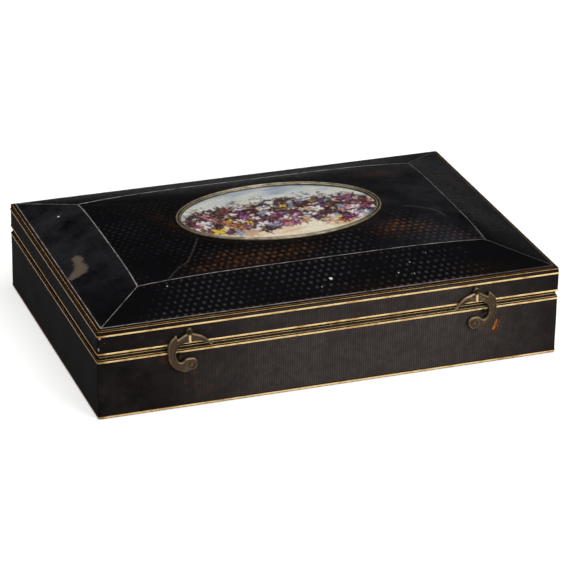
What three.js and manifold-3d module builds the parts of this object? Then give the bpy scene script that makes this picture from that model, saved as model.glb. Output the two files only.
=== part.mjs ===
// Leather-covered casket: a wooden carcase under leather, with a hipped, cushion-shaped lid,
// an oval enamel plaque in a gilt bezel, and two cast hooks that catch studs on the base.
// Millimetres, +Z up, +X to the right along the front, the front facing -Y.
// The origin is the centre of the underside.

import * as THREE from 'three';
import { mergeVertices } from 'three/addons/utils/BufferGeometryUtils.js';
import Module from 'manifold-3d';

const wasm = await Module();
wasm.setup();

// Outside of the casket, from the floor up
const LENGTH = 280;
const WIDTH = 190;
const BASE_FACE = 36.1; // upright wall of the base
const BASE_BEVEL = 2.6; // rise of the bevel above it, which is the lower half of the groove
const LID_BEVEL = 1.35; // rise of the undercut bevel of the lid, the upper half of the groove
const LID_FACE = 12.6; // upright rim of the lid
const GROOVE_DEPTH = 1.7;
const MOULDING_RISE = 2.7; // rounded moulding between the rim and the sloping sides
const MOULDING_RUN = 3;
const HIP_RISE = 7.9; // sloping sides of the lid, at their corners
const HIP_RUN = 30.5;
const EDGE_CROWN = 2.4; // how much the middle of a panel edge stands above its corners
const DOME_RISE = 6.8; // top panel, from its corners up to the plaque
const DOME_FULLNESS = 0.35; // how far the panel bulges between its edge and the plaque
const CORNER_RADIUS = 1.5;
const SHARP_CORNER = 0.05; // radius where the leather is folded into an inner corner

// Sheet and board thicknesses
const COVER_SHEET = 0.4;
const COVER_INSET = 2.5;
const LEATHER = 1.2;
const BOARD = 8;
const FLOOR_BOARD = 6;
const RAIL = 4.85; // height of the lid's rails
const TOP_BOARD = 6;
const LINING = 1;
const FLOOR_PAD = 3;
const LID_PAD = 3;
const LAND_WRAP = 7.5; // how far the leather turns in over the meeting edges

// Clearances
const LAND_GAP = 0.3; // between the lid and the base
const GLUE = 0.3; // between two layers that are glued
const MITRE_GAP = 0.2; // half of a mitred joint
const FACE_GAP = 0.15; // between metal fittings stacked on each other
const HOLE_GAP = 0.25; // round a pin or nail

// Plaque and bezel
const BEZEL_LONG = 63.1; // outer half axes
const BEZEL_SHORT = 40.4;
const BEZEL_WIDTH = 3.8;
const BEZEL_HEIGHT = 1.1;
const BEZEL_MOULDING = [ // outer bead, groove and inner bead, as shares of its width and height
  [0, 0], [0.12, 0.75], [0.3, 1], [0.48, 0.75], [0.58, 0.45], [0.8, 0.8], [1, 0.4], [1, 0],
];
const BEZEL_LIP = 0.8; // rests on the leather
const SKIRT = 0.9;
const SKIRT_DEPTH = 4.2;
const ENAMEL = 1.2;
const ENAMEL_DOME = 2.3;

// Hinges
const HINGE_FROM_END = 60; // middle of a hinge from the end of the casket
const HINGE_LENGTH = 36;
const BARREL_RADIUS = 1.6;
const HINGE_PIN_RADIUS = 0.8;
const LEAF = 1.2;
const LEAF_REACH = 9.3; // inner edge of a leaf, from the back face
const BARREL_GAP = 0.3;
const SCREW_SPACING = 22;
const SCREW_INSET = 6.8;
const SCREW_HEAD_RADIUS = 1.6;
const SCREW_SHANK_RADIUS = 0.8;
const SCREW_HEAD_DEPTH = 0.9;
const SCREW_LENGTH = 5.6;
const SLOT_WIDTH = 0.4;
const SLOT_DEPTH = 0.35;

// Hooks, their rivets and the keeper studs
const PIVOT_FROM_END = 53; // rivet of a hook from the end of the casket
const PIVOT_Z = 48.6;
const HOOK_THICKNESS = 2.2;
const LUG_RADIUS = 1.9; // round lug of the hook, which turns on the rivet
const COLLAR_LENGTH = 5.2; // raised band across the neck of the hook
const COLLAR_RADIUS = 0.75;
const COLLAR_DROP = 4; // middle of the band below the pivot
const RIVET_RADIUS = 0.8;
const RIVET_HEAD_RADIUS = 1.4;
const RIVET_HEAD_HEIGHT = 1;
const RIVET_HEAD_DOME = [[1, 0], [0.9, 0.55], [0.5, 0.92], [0, 1]]; // shares of its radius and height
const WASHER_RADIUS = 2.2;
const WASHER = 0.8;
const NAIL_DEPTH = 6;
const STUD_OUT = 5.6; // stud from the pivot, away from the tail
const STUD_DOWN = 14.2; // and below it
const STUD_RADIUS = 0.8;
const STUD_FLANGE_RADIUS = 1.3;
const STUD_FLANGE = 0.6;

// Smoothness of curves
const CORNER_STEPS = 3;
const MOULDING_STEPS = 4;
const EDGE_STEPS = 10; // along each edge of the lid's panels
const DOME_STEPS = 4;
const ENAMEL_STEPS = 7; // from the edge of the enamel to its middle
const ROUND_STEPS = 20;
const CAPSULE_STEPS = 3; // round each end of the hook's collar
const CAPSULE_SIDES = 10;
const SCROLL_STEPS = 2; // between two points of the hook's outline

// Heights and insets worked out from the sizes above
const BASE_LAND = BASE_FACE + BASE_BEVEL;
const AXIS_Z = BASE_LAND + LAND_GAP / 2;
const LID_LAND = BASE_LAND + LAND_GAP;
const LID_FOOT = LID_LAND + LID_BEVEL;
const LID_FACE_TOP = LID_FOOT + LID_FACE;
const HIP_FOOT = LID_FACE_TOP + MOULDING_RISE;
const PANEL_CORNER = HIP_FOOT + HIP_RISE;
const PANEL_INSET = MOULDING_RUN + HIP_RUN;
const SEAT = PANEL_CORNER + DOME_RISE;
const LAYER = LEATHER + GLUE; // from the leather's face to the wood
const BOARD_INNER = LAYER + BOARD; // inset of the inner face of the wall boards
const LINING_OUTER = BOARD_INNER + GLUE;
const LINING_INNER = LINING_OUTER + LINING;
const PAD_INSET = LINING_INNER + GLUE;
const RAIL_TOP = LID_LAND + LAYER + RAIL;
const AXIS_Y = WIDTH / 2 - GROOVE_DEPTH;
const HINGE_X = LENGTH / 2 - HINGE_FROM_END;
const PIVOT_X = LENGTH / 2 - PIVOT_FROM_END;
const FRONT_Y = -WIDTH / 2;
const HALF = { front: LENGTH / 2, back: LENGTH / 2, left: WIDTH / 2, right: WIDTH / 2 };
const SIDES = ['front', 'back', 'left', 'right'];

// Finishes
const finish = (color, roughness, metalness = 0) =>
  new THREE.MeshStandardMaterial({ color, roughness, metalness });
const wallLeather = finish('#2b2724', 0.55);
const panelLeather = finish('#17141a', 0.42);
const carcaseWood = finish('#8a6a45', 0.7);
const coverPaper = finish('#6b4a3a', 0.9);
const silk = finish('#8e2f3c', 0.6);
const bronze = finish('#5a4d3c', 0.45, 0.9);
const gilt = finish('#a88748', 0.35, 1);
const brass = finish('#9a7d45', 0.4, 1);
const enamel = finish('#cdbfae', 0.15);
const backing = finish('#5b4632', 0.85);

// Closed solids from points and loops

function signedVolume(points, triangles) {
  let sum = 0;
  for (let i = 0; i < triangles.length; i += 3) {
    const [a, b, c] = [0, 1, 2].map((k) => points[triangles[i + k]]);
    sum += a.dot(b.clone().cross(c));
  }
  return sum / 6;
}

function solidFrom(points, triangles) {
  const inward = signedVolume(points, triangles) < 0;
  const index = inward ? triangles.slice().reverse() : triangles;
  const geometry = new THREE.BufferGeometry();
  const flat = points.flatMap((p) => [p.x, p.y, p.z]);
  geometry.setAttribute('position', new THREE.Float32BufferAttribute(flat, 3));
  geometry.setIndex(index);
  return geometry;
}

// Skin between neighbouring loops. The ends close on each other, or get the cap triangles given.
function loft(loops, { closed = false, cap = null } = {}) {
  const count = loops[0].length;
  const points = loops.flat();
  const triangles = [];
  const spans = closed ? loops.length : loops.length - 1;
  for (let i = 0; i < spans; i += 1) {
    const here = i * count;
    const next = ((i + 1) % loops.length) * count;
    for (let j = 0; j < count; j += 1) {
      const k = (j + 1) % count;
      triangles.push(here + j, here + k, next + k, here + j, next + k, next + j);
    }
  }
  if (cap) {
    const last = (loops.length - 1) * count;
    for (const [a, b, c] of cap) {
      triangles.push(a, c, b, last + a, last + b, last + c);
    }
  }
  return solidFrom(points, triangles);
}

// A pancake: loops from one face's middle, over the rim, to the other face's middle.
function pancake(loops, topMiddle, bottomMiddle) {
  const count = loops[0].length;
  const points = [...loops.flat(), topMiddle, bottomMiddle];
  const top = points.length - 2;
  const last = (loops.length - 1) * count;
  const triangles = [];
  for (let j = 0; j < count; j += 1) {
    const k = (j + 1) % count;
    triangles.push(top, k, j, top + 1, last + j, last + k);
    for (let i = 0; i < last; i += count) {
      triangles.push(i + j, i + k, i + count + k, i + j, i + count + k, i + count + j);
    }
  }
  return solidFrom(points, triangles);
}

// Triangles that fill a section, turned the way its points run
function capOf(section) {
  const outline = section.map(([inset, z]) => new THREE.Vector2(inset, z));
  const faces = THREE.ShapeUtils.triangulateShape(outline, []);
  return THREE.ShapeUtils.isClockWise(outline) ? faces.map(([a, b, c]) => [a, c, b]) : faces;
}

// Cutting and joining

function toManifold(geometry) {
  const bare = geometry.clone();
  bare.deleteAttribute('normal');
  bare.deleteAttribute('uv');
  const merged = mergeVertices(bare);
  return new wasm.Manifold(new wasm.Mesh({
    numProp: 3,
    vertProperties: new Float32Array(merged.attributes.position.array),
    triVerts: new Uint32Array(merged.index.array),
  }));
}

function fromManifold(manifold) {
  const mesh = manifold.getMesh();
  const geometry = new THREE.BufferGeometry();
  geometry.setAttribute('position', new THREE.BufferAttribute(mesh.vertProperties, 3));
  geometry.setIndex(new THREE.BufferAttribute(mesh.triVerts, 1));
  return geometry;
}

function cut(geometry, tools) {
  let body = toManifold(geometry);
  for (const tool of tools) {
    body = body.subtract(toManifold(tool));
  }
  return fromManifold(body);
}

function join(geometries) {
  let body = toManifold(geometries[0]);
  for (const geometry of geometries.slice(1)) {
    body = body.add(toManifold(geometry));
  }
  return fromManifold(body);
}

// Simple shapes in their place

const between = (a, b) => [Math.min(a, b), Math.max(a, b)];

function block([x0, x1], [y0, y1], [z0, z1]) {
  const geometry = new THREE.BoxGeometry(x1 - x0, y1 - y0, z1 - z0);
  return geometry.translate((x0 + x1) / 2, (y0 + y1) / 2, (z0 + z1) / 2);
}

function insetBlock(inset, z0, z1) {
  const x = LENGTH / 2 - inset;
  const y = WIDTH / 2 - inset;
  return block([-x, x], [-y, y], [z0, z1]);
}

function rodAlongX(radius, [x0, x1], y, z) {
  const geometry = new THREE.CylinderGeometry(radius, radius, x1 - x0, ROUND_STEPS);
  return geometry.rotateZ(Math.PI / 2).translate((x0 + x1) / 2, y, z);
}

// Turned pieces: the profile is [radius, height] from one end of the axis to the other.
function turned(profile) {
  return new THREE.LatheGeometry(profile.map(([r, h]) => new THREE.Vector2(r, h)), ROUND_STEPS);
}

// Turned about an axis that runs out of the front, with height 0 on the front face.
function turnedAtFront(profile, x, z) {
  return turned(profile).rotateX(Math.PI).translate(x, FRONT_Y, z);
}

function frontHole(radius, depth, x, z) {
  const profile = [[0, -depth], [radius, -depth], [radius, WASHER], [0, WASHER]];
  return turnedAtFront(profile, x, z);
}

// Bars and rings round the casket. A section is a list of [inset from the outer face, height].

function place(side, along, inset, z) {
  const x = LENGTH / 2 - inset;
  const y = WIDTH / 2 - inset;
  return {
    front: new THREE.Vector3(along, -y, z),
    back: new THREE.Vector3(-along, y, z),
    left: new THREE.Vector3(-x, -along, z),
    right: new THREE.Vector3(x, along, z),
  }[side];
}

// A bar along one side with mitred ends. The section may change with t, from -1 to 1 along it.
function sideBar(side, sectionAt, stations = [-1, 1]) {
  const loops = stations.map((t) => sectionAt(t).map(([inset, z]) =>
    place(side, t * (HALF[side] - inset - MITRE_GAP), inset, z)));
  return loft(loops, { cap: capOf(sectionAt(0)) });
}

// The same section all the way round, with rounded corners where there is room for them.
function ring(section) {
  const loops = [];
  for (const [quarter, [sx, sy]] of [[1, 1], [-1, 1], [-1, -1], [1, -1]].entries()) {
    for (let i = 0; i <= CORNER_STEPS; i += 1) {
      const angle = (quarter + i / CORNER_STEPS) * Math.PI / 2;
      loops.push(section.map(([inset, z]) => {
        const r = Math.max(CORNER_RADIUS - inset, SHARP_CORNER);
        const x = sx * (LENGTH / 2 - inset - r) + r * Math.cos(angle);
        const y = sy * (WIDTH / 2 - inset - r) + r * Math.sin(angle);
        return new THREE.Vector3(x, y, z);
      }));
    }
  }
  return loft(loops, { closed: true });
}

// Vertical thickness of a layer that is laid on a slope
const onSlope = (thickness, run, rise) => thickness * Math.hypot(run, rise) / run;

// Where a layer at some depth under the leather's face turns from the upright into a bevel, and
// where that bevel meets the layer under the meeting edge.
function bevelTurns(depth, foot, rise, land, away) {
  const shift = away * onSlope(depth, GROOVE_DEPTH, rise);
  const level = land + away * depth;
  const heightAt = (inset) => foot - away * rise * inset / GROOVE_DEPTH + shift;
  const meets = (foot + shift - level) * GROOVE_DEPTH / (away * rise);
  return { wall: [depth, heightAt(depth)], land: [meets, level] };
}
const baseBevelTurns = (depth) => bevelTurns(depth, BASE_FACE, BASE_BEVEL, BASE_LAND, -1);
const lidBevelTurns = (depth) => bevelTurns(depth, LID_FOOT, LID_BEVEL, LID_LAND, 1);

// Rounded moulding above the lid's rim, or a layer at some depth under it, from the rim to the hip
function mouldingArc(depth) {
  return Array.from({ length: MOULDING_STEPS + 1 }, (_, i) => {
    const angle = (i / MOULDING_STEPS) * Math.PI / 2;
    return [
      depth + (MOULDING_RUN - depth) * (1 - Math.cos(angle)),
      LID_FACE_TOP + (MOULDING_RISE - depth) * Math.sin(angle),
    ];
  });
}

// Hipped and domed surface of the lid

const crown = (t) => EDGE_CROWN * (1 - t ** 4);
const panelEdge = (t) => PANEL_CORNER + crown(t);
const hipSlope = (t) => (panelEdge(t) - HIP_FOOT) / HIP_RUN;
const hipHeight = (inset, t) => HIP_FOOT + hipSlope(t) * (inset - MOULDING_RUN);

// Stations along a panel edge, closer together near the corners, where the crown falls off
const edgeStations = Array.from({ length: EDGE_STEPS + 1 }, (_, i) =>
  Math.sin(Math.PI * (i / EDGE_STEPS - 0.5)));

// Round the lid once: for each point its place along a side of the top panel and its angle.
const roundTheLid = [];
for (const [i, side] of ['front', 'right', 'back', 'left'].entries()) {
  for (const t of edgeStations.slice(0, -1)) {
    roundTheLid.push({ side, t, angle: (i - 1 + t / 2) * Math.PI / 2 });
  }
}

const ovalLoop = (inset, z) => roundTheLid.map(({ angle }) => new THREE.Vector3(
  (BEZEL_LONG - inset) * Math.cos(angle),
  (BEZEL_SHORT - inset) * Math.sin(angle),
  z,
));

function panelBorder(gap, drop) {
  return roundTheLid.map(({ side, t }) => {
    const inset = PANEL_INSET + gap;
    return place(side, t * (HALF[side] - inset), inset, panelEdge(t) - drop);
  });
}

// Loop across the domed panel: 0 is the edge of the bezel's bed, 1 the border of the panel.
function domeLoop(across, gap, drop) {
  const border = panelBorder(gap, 0);
  const oval = ovalLoop(BEZEL_LIP, SEAT);
  const rise = (1 - across) * (1 + DOME_FULLNESS * across);
  return border.map((edge, i) => {
    const point = edge.clone().lerp(oval[i], 1 - across);
    point.z = edge.z + (SEAT - edge.z) * rise - drop;
    return point;
  });
}

const domeSteps = Array.from({ length: DOME_STEPS + 1 }, (_, i) => i / DOME_STEPS);

// The assembly

const casket = new THREE.Group();

function add(name, geometry, material) {
  geometry.computeVertexNormals();
  const mesh = new THREE.Mesh(geometry, material);
  mesh.name = name;
  casket.add(mesh);
}

// Hinges: two butt hinges let into the back of the groove, with their axis at its root.

const hingePlaces = { left: -HINGE_X, right: HINGE_X };
const hingeSpan = (x, extra = 0) => [x - HINGE_LENGTH / 2 - extra, x + HINGE_LENGTH / 2 + extra];
const screwSpots = (x) => [x - SCREW_SPACING / 2, x + SCREW_SPACING / 2];

// Spans of the three knuckles: the outer two belong to the base leaf, the middle one to the lid.
function knuckleSpans(x) {
  const third = HINGE_LENGTH / 3;
  const [start, end] = hingeSpan(x);
  return {
    base: [[start, start + third], [end - third, end]],
    lid: [[start + third + FACE_GAP, end - third - FACE_GAP]],
  };
}

// up is -1 for the base half and 1 for the lid half.
const landOf = (up) => AXIS_Z + up * LAND_GAP / 2;

function screwTurned(profile, x, up, land) {
  return turned(profile).rotateX(up * Math.PI / 2).translate(x, WIDTH / 2 - SCREW_INSET, land);
}

function screwHole(x, up) {
  const head = SCREW_HEAD_RADIUS + HOLE_GAP;
  const shank = SCREW_SHANK_RADIUS + HOLE_GAP;
  const end = SCREW_LENGTH + HOLE_GAP;
  const profile = [[0, -LAND_GAP], [head, -LAND_GAP], [head, 0], [shank, SCREW_HEAD_DEPTH + FACE_GAP],
    [shank, end], [0, end]];
  return screwTurned(profile, x, up, landOf(up));
}

function hingeScrew(x, up) {
  const sunk = FACE_GAP;
  const profile = [[0, sunk], [SCREW_HEAD_RADIUS, sunk], [SCREW_SHANK_RADIUS, sunk + SCREW_HEAD_DEPTH],
    [SCREW_SHANK_RADIUS, SCREW_LENGTH - SCREW_SHANK_RADIUS], [0, SCREW_LENGTH]];
  const land = landOf(up);
  const reach = SCREW_HEAD_RADIUS + HOLE_GAP;
  const y = WIDTH / 2 - SCREW_INSET;
  const depths = between(land + up * (sunk - SLOT_DEPTH), land + up * (sunk + SLOT_DEPTH));
  const slot = block([x - reach, x + reach], [y - SLOT_WIDTH / 2, y + SLOT_WIDTH / 2], depths);
  return cut(screwTurned(profile, x, up, land), [slot]);
}

function hingeLeaf(x, up) {
  const own = knuckleSpans(x)[up < 0 ? 'base' : 'lid'];
  const other = knuckleSpans(x)[up < 0 ? 'lid' : 'base'];
  const levels = between(landOf(up), landOf(up) + up * LEAF);
  const plate = block(hingeSpan(x), [WIDTH / 2 - LEAF_REACH, AXIS_Y], levels);
  const barrel = own.map((span) => rodAlongX(BARREL_RADIUS, span, AXIS_Y, AXIS_Z));
  const room = other.map(([a, b]) =>
    rodAlongX(BARREL_RADIUS + BARREL_GAP, [a - FACE_GAP, b + FACE_GAP], AXIS_Y, AXIS_Z));
  const bore = rodAlongX(HINGE_PIN_RADIUS + FACE_GAP, hingeSpan(x, LEAF), AXIS_Y, AXIS_Z);
  const holes = screwSpots(x).map((spot) => screwHole(spot, up));
  return cut(join([cut(plate, room), ...barrel]), [bore, ...holes]);
}

// Room for a leaf and its barrel in the leather, boards and lining of one half
function hingeRoom(up) {
  return Object.values(hingePlaces).flatMap((x) => {
    const levels = between(AXIS_Z, landOf(up) + up * (LEAF + GLUE));
    const span = hingeSpan(x, GLUE);
    const reach = [WIDTH / 2 - LEAF_REACH - GLUE, AXIS_Y];
    return [
      block(span, reach, levels),
      rodAlongX(BARREL_RADIUS + BARREL_GAP, span, AXIS_Y, AXIS_Z),
    ];
  });
}

const pilotHoles = (up) =>
  Object.values(hingePlaces).flatMap((x) => screwSpots(x).map((spot) => screwHole(spot, up)));

// Holes through the front for the rivets and studs

const hands = { left: -1, right: 1 };
const rivetHoles = Object.values(hands).map((hand) =>
  frontHole(RIVET_RADIUS + HOLE_GAP, NAIL_DEPTH + HOLE_GAP, hand * PIVOT_X, PIVOT_Z));
const studX = PIVOT_X + STUD_OUT;
const studZ = PIVOT_Z - STUD_DOWN;
const studHoles = Object.values(hands).map((hand) =>
  frontHole(STUD_RADIUS + HOLE_GAP, NAIL_DEPTH + HOLE_GAP, hand * studX, studZ));

// Base

add('base_cover_sheet', insetBlock(COVER_INSET, 0, COVER_SHEET), coverPaper);

const floorFoot = COVER_SHEET + GLUE;
const floorTop = floorFoot + FLOOR_BOARD;
add('base_floor_board', insetBlock(BOARD_INNER + GLUE, floorFoot, floorTop), carcaseWood);

const baseSkin = baseBevelTurns(LEATHER);
const baseLeather = ring([
  [LAND_WRAP, BASE_LAND],
  [GROOVE_DEPTH, BASE_LAND],
  [0, BASE_FACE],
  [0, COVER_SHEET],
  [LAND_WRAP, COVER_SHEET],
  [LAND_WRAP, COVER_SHEET + LEATHER],
  [LEATHER, COVER_SHEET + LEATHER],
  baseSkin.wall,
  baseSkin.land,
  [LAND_WRAP, BASE_LAND - LEATHER],
]);
add('base_leather', cut(baseLeather, [...hingeRoom(-1), ...studHoles]), wallLeather);

const baseWood = baseBevelTurns(LAYER);
const baseBoardSection = [
  [LAYER, COVER_SHEET + LAYER],
  baseWood.wall,
  baseWood.land,
  [BOARD_INNER, BASE_LAND - LAYER],
  [BOARD_INNER, COVER_SHEET + LAYER],
];
const baseBoardCuts = { front: studHoles, back: [...hingeRoom(-1), ...pilotHoles(-1)] };
for (const side of SIDES) {
  const board = sideBar(side, () => baseBoardSection);
  add(`base_board_${side}`, cut(board, baseBoardCuts[side] ?? []), carcaseWood);
}

const liningTop = BASE_LAND - GLUE;
const liningTurn = LAND_WRAP + GLUE;
const baseLiningSection = [
  [LINING_INNER, floorTop + GLUE],
  [LINING_INNER, liningTop],
  [liningTurn, liningTop],
  [liningTurn, liningTop - LINING],
  [LINING_OUTER, liningTop - LINING],
  [LINING_OUTER, floorTop + GLUE],
];
for (const side of SIDES) {
  const lining = sideBar(side, () => baseLiningSection);
  add(`base_lining_${side}`, cut(lining, side === 'back' ? hingeRoom(-1) : []), silk);
}
add('base_floor_pad', insetBlock(PAD_INSET, floorTop + GLUE, floorTop + GLUE + FLOOR_PAD), silk);

// Lid carcase

const lidWood = lidBevelTurns(LAYER);
const railSection = [
  [BOARD_INNER, LID_LAND + LAYER],
  lidWood.land,
  lidWood.wall,
  [LAYER, RAIL_TOP],
  [BOARD_INNER, RAIL_TOP],
];
const railCuts = { front: rivetHoles, back: [...hingeRoom(1), ...pilotHoles(1)] };
for (const side of SIDES) {
  const rail = sideBar(side, () => railSection);
  add(`lid_rail_${side}`, cut(rail, railCuts[side] ?? []), carcaseWood);
}

const slopeFoot = RAIL_TOP + GLUE;
const mouldingTurn = MOULDING_RUN + LEATHER;
const slopeMiddle = MOULDING_RUN + HIP_RUN / 2;
const slopeBoardSection = (t) => [
  [LAYER, slopeFoot],
  ...mouldingArc(LAYER),
  [mouldingTurn, hipHeight(mouldingTurn, t) - LAYER],
  [slopeMiddle, hipHeight(slopeMiddle, t) - LAYER],
  [PANEL_INSET - MITRE_GAP, hipHeight(PANEL_INSET - MITRE_GAP, t) - LAYER],
  [PANEL_INSET - MITRE_GAP, hipHeight(PANEL_INSET - MITRE_GAP, t) - LAYER - TOP_BOARD],
  [BOARD_INNER, hipHeight(BOARD_INNER, t) - LAYER - TOP_BOARD],
  [BOARD_INNER, slopeFoot],
];
for (const side of SIDES) {
  const board = sideBar(side, slopeBoardSection, edgeStations);
  add(`lid_slope_board_${side}`, cut(board, side === 'front' ? rivetHoles : []), carcaseWood);
}

// The top board has a recess for the plaque and its backing.
const recessFloor = SEAT - SKIRT_DEPTH - GLUE;
const topBoardFoot = PANEL_CORNER - LAYER - TOP_BOARD;
const middle = (z) => new THREE.Vector3(0, 0, z);
add('lid_top_board', pancake([
  ovalLoop(BEZEL_LIP, recessFloor),
  ...domeSteps.map((across) => domeLoop(across, MITRE_GAP, LAYER)),
  panelBorder(MITRE_GAP, LAYER).map((p) => new THREE.Vector3(p.x, p.y, topBoardFoot)),
], middle(recessFloor), middle(topBoardFoot)), carcaseWood);

// Lid leather

const lidSkin = lidBevelTurns(LEATHER);
const lidRimLeather = ring([
  [LAND_WRAP, LID_LAND],
  [GROOVE_DEPTH, LID_LAND],
  [0, LID_FOOT],
  ...mouldingArc(0),
  ...mouldingArc(LEATHER).toReversed(),
  lidSkin.wall,
  lidSkin.land,
  [LAND_WRAP, LID_LAND + LEATHER],
]);
add('lid_leather_rim', cut(lidRimLeather, [...hingeRoom(1), ...rivetHoles]), wallLeather);

const seam = MITRE_GAP / 2;
const slopeLeatherSection = (t) => {
  const [low, high] = [MOULDING_RUN + seam, PANEL_INSET - seam];
  return [
    [low, hipHeight(low, t)],
    [slopeMiddle, hipHeight(slopeMiddle, t)],
    [high, hipHeight(high, t)],
    [high, hipHeight(high, t) - LEATHER],
    [slopeMiddle, hipHeight(slopeMiddle, t) - LEATHER],
    [low, hipHeight(low, t) - LEATHER],
  ];
};
for (const side of SIDES) {
  add(`lid_leather_${side}`, sideBar(side, slopeLeatherSection, edgeStations), panelLeather);
}

add('lid_leather_top', loft([
  ...domeSteps.map((across) => domeLoop(across, seam, 0)),
  ...domeSteps.toReversed().map((across) => domeLoop(across, seam, LEATHER)),
], { closed: true }), panelLeather);

// Lid lining

const lidLiningFoot = LID_LAND + GLUE;
const lidPadTop = hipHeight(BOARD_INNER, 1) - LAYER - TOP_BOARD - GLUE;
const lidLiningTop = lidPadTop - GLUE;
const lidLiningSection = [
  [LINING_INNER, lidLiningFoot],
  [LINING_INNER, lidLiningTop],
  [LINING_OUTER, lidLiningTop],
  [LINING_OUTER, lidLiningFoot + LINING],
  [liningTurn, lidLiningFoot + LINING],
  [liningTurn, lidLiningFoot],
];
for (const side of SIDES) {
  const lining = sideBar(side, () => lidLiningSection);
  add(`lid_lining_${side}`, cut(lining, side === 'back' ? hingeRoom(1) : []), silk);
}
add('lid_lining_pad', insetBlock(PAD_INSET, lidPadTop - LID_PAD, lidPadTop), silk);

// Plaque

const bezelTop = SEAT + FACE_GAP;
const skirtOuter = BEZEL_LIP + GLUE;
const skirtInner = skirtOuter + SKIRT;
const enamelEdge = SEAT - GLUE;
const bezelProfile = [
  ...BEZEL_MOULDING.map(([across, up]) => [across * BEZEL_WIDTH, bezelTop + up * BEZEL_HEIGHT]),
  [skirtInner, bezelTop],
  [skirtInner, SEAT - SKIRT_DEPTH],
  [skirtOuter, SEAT - SKIRT_DEPTH],
  [skirtOuter, bezelTop],
];
add('plaque_bezel', loft(bezelProfile.map(([inset, z]) => ovalLoop(inset, z)), { closed: true }), gilt);

// Loops of a dome over the oval, from its edge inwards, without the middle point
const domeShare = (share) => Math.cos(share * Math.PI / 2);
function enamelLoop(share, drop) {
  const inset = skirtInner + HOLE_GAP;
  return ovalLoop(inset, enamelEdge - drop).map((p) => {
    const point = p.clone();
    point.x *= domeShare(share);
    point.y *= domeShare(share);
    point.z += ENAMEL_DOME * Math.sin(share * Math.PI / 2) ** 2;
    return point;
  });
}
const enamelShares = Array.from({ length: ENAMEL_STEPS }, (_, i) => i / ENAMEL_STEPS);
add('enamel_plaque', pancake([
  ...enamelShares.toReversed().map((share) => enamelLoop(share, 0)),
  ...enamelShares.map((share) => enamelLoop(share, ENAMEL)),
], middle(enamelEdge + ENAMEL_DOME), middle(enamelEdge + ENAMEL_DOME - ENAMEL)), enamel);

const bedTop = enamelEdge - ENAMEL - GLUE;
const bedFoot = recessFloor + FACE_GAP;
const bedInset = skirtInner + GLUE;
add('plaque_backing', pancake([
  ovalLoop(bedInset, bedTop),
  ovalLoop(bedInset, bedFoot),
], middle(bedTop), middle(bedFoot)), backing);

// Hinges

for (const [hand, x] of Object.entries(hingePlaces)) {
  add(`hinge_base_leaf_${hand}`, hingeLeaf(x, -1), brass);
  add(`hinge_lid_leaf_${hand}`, hingeLeaf(x, 1), brass);
  add(`hinge_pin_${hand}`, rodAlongX(HINGE_PIN_RADIUS, hingeSpan(x), AXIS_Y, AXIS_Z), brass);
  for (const [i, spot] of screwSpots(x).entries()) {
    add(`hinge_base_screw_${hand}_${i + 1}`, hingeScrew(spot, -1), brass);
    add(`hinge_lid_screw_${hand}_${i + 1}`, hingeScrew(spot, 1), brass);
  }
}

// Hooks. The outline is that of the left hook, round its pivot, with z up and the tail to +x.

const outerScroll = [
  [-7.8, -1.4], [-10.8, -3.9], [-12.5, -7], [-13, -11], [-12.5, -15.2], [-11, -19.2], [-8, -22.5],
  [-3.8, -24.5], [0.4, -24.4], [3.1, -22.9], [4.5, -20.6], [4.4, -18.4], [3.1, -16.8], [1.1, -16.35],
];
const innerScroll = [
  [1.1, -16.35], [-0.8, -16.35], [-2.4, -16.8], [-3.6, -18], [-5.1, -18.5], [-6.5, -17.7],
  [-7.5, -15.9], [-7.9, -13.7], [-7.7, -11.4], [-6.8, -9.3], [-5.1, -7.8], [-3, -6.9], [0.3, -6.7],
];
const tailUnder = [[0.3, -6.7], [2.9, -6.4], [5.6, -6.6], [8.2, -7.4], [10.9, -8.8], [14, -10.4]];
const tailOver = [[14, -10.4], [11.6, -7.3], [9.4, -4.9], [6.9, -3.1], [4.4, -2.2], [1.5, -1.1]];
const neckOver = [[1.5, -1.1], [-1.5, -1.1], [-4.6, -2.8], [-6.9, -4.1]];

function hookOutline() {
  const shape = new THREE.Shape();
  const points = (list) => list.map(([x, z]) => new THREE.Vector2(x, z));
  shape.moveTo(...outerScroll[0]);
  for (const stretch of [outerScroll, innerScroll, tailUnder, tailOver, neckOver]) {
    shape.splineThru(points(stretch.slice(1)));
  }
  shape.closePath();
  return shape;
}

const washerBack = FACE_GAP;
const hookBack = washerBack + WASHER + FACE_GAP;
const hookFront = hookBack + HOOK_THICKNESS;

function hook(hand) {
  const body = new THREE.ExtrudeGeometry(hookOutline(), {
    depth: HOOK_THICKNESS,
    bevelEnabled: false,
    curveSegments: SCROLL_STEPS,
  });
  body.translate(0, 0, hookBack);
  const lug = new THREE.CylinderGeometry(LUG_RADIUS, LUG_RADIUS, HOOK_THICKNESS, ROUND_STEPS);
  lug.rotateX(Math.PI / 2).translate(0, 0, hookBack + HOOK_THICKNESS / 2);
  const collarSpan = COLLAR_LENGTH - 2 * COLLAR_RADIUS;
  const collar = new THREE.CapsuleGeometry(COLLAR_RADIUS, collarSpan, CAPSULE_STEPS, CAPSULE_SIDES);
  collar.translate(0, -COLLAR_DROP, hookFront - COLLAR_RADIUS / 2);
  const bore = turned([[0, 0], [RIVET_RADIUS + HOLE_GAP, 0], [RIVET_RADIUS + HOLE_GAP, 2 * hookFront],
    [0, 2 * hookFront]]).rotateX(Math.PI / 2);
  let solid = cut(join([body, lug, collar]), [bore]);
  if (hand > 0) {
    solid = mirrored(solid);
  }
  return solid.rotateX(Math.PI / 2).translate(hand * PIVOT_X, FRONT_Y, PIVOT_Z);
}

function mirrored(geometry) {
  const copy = geometry.clone().scale(-1, 1, 1);
  copy.setIndex(Array.from(copy.index.array).reverse());
  return copy;
}

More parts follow.
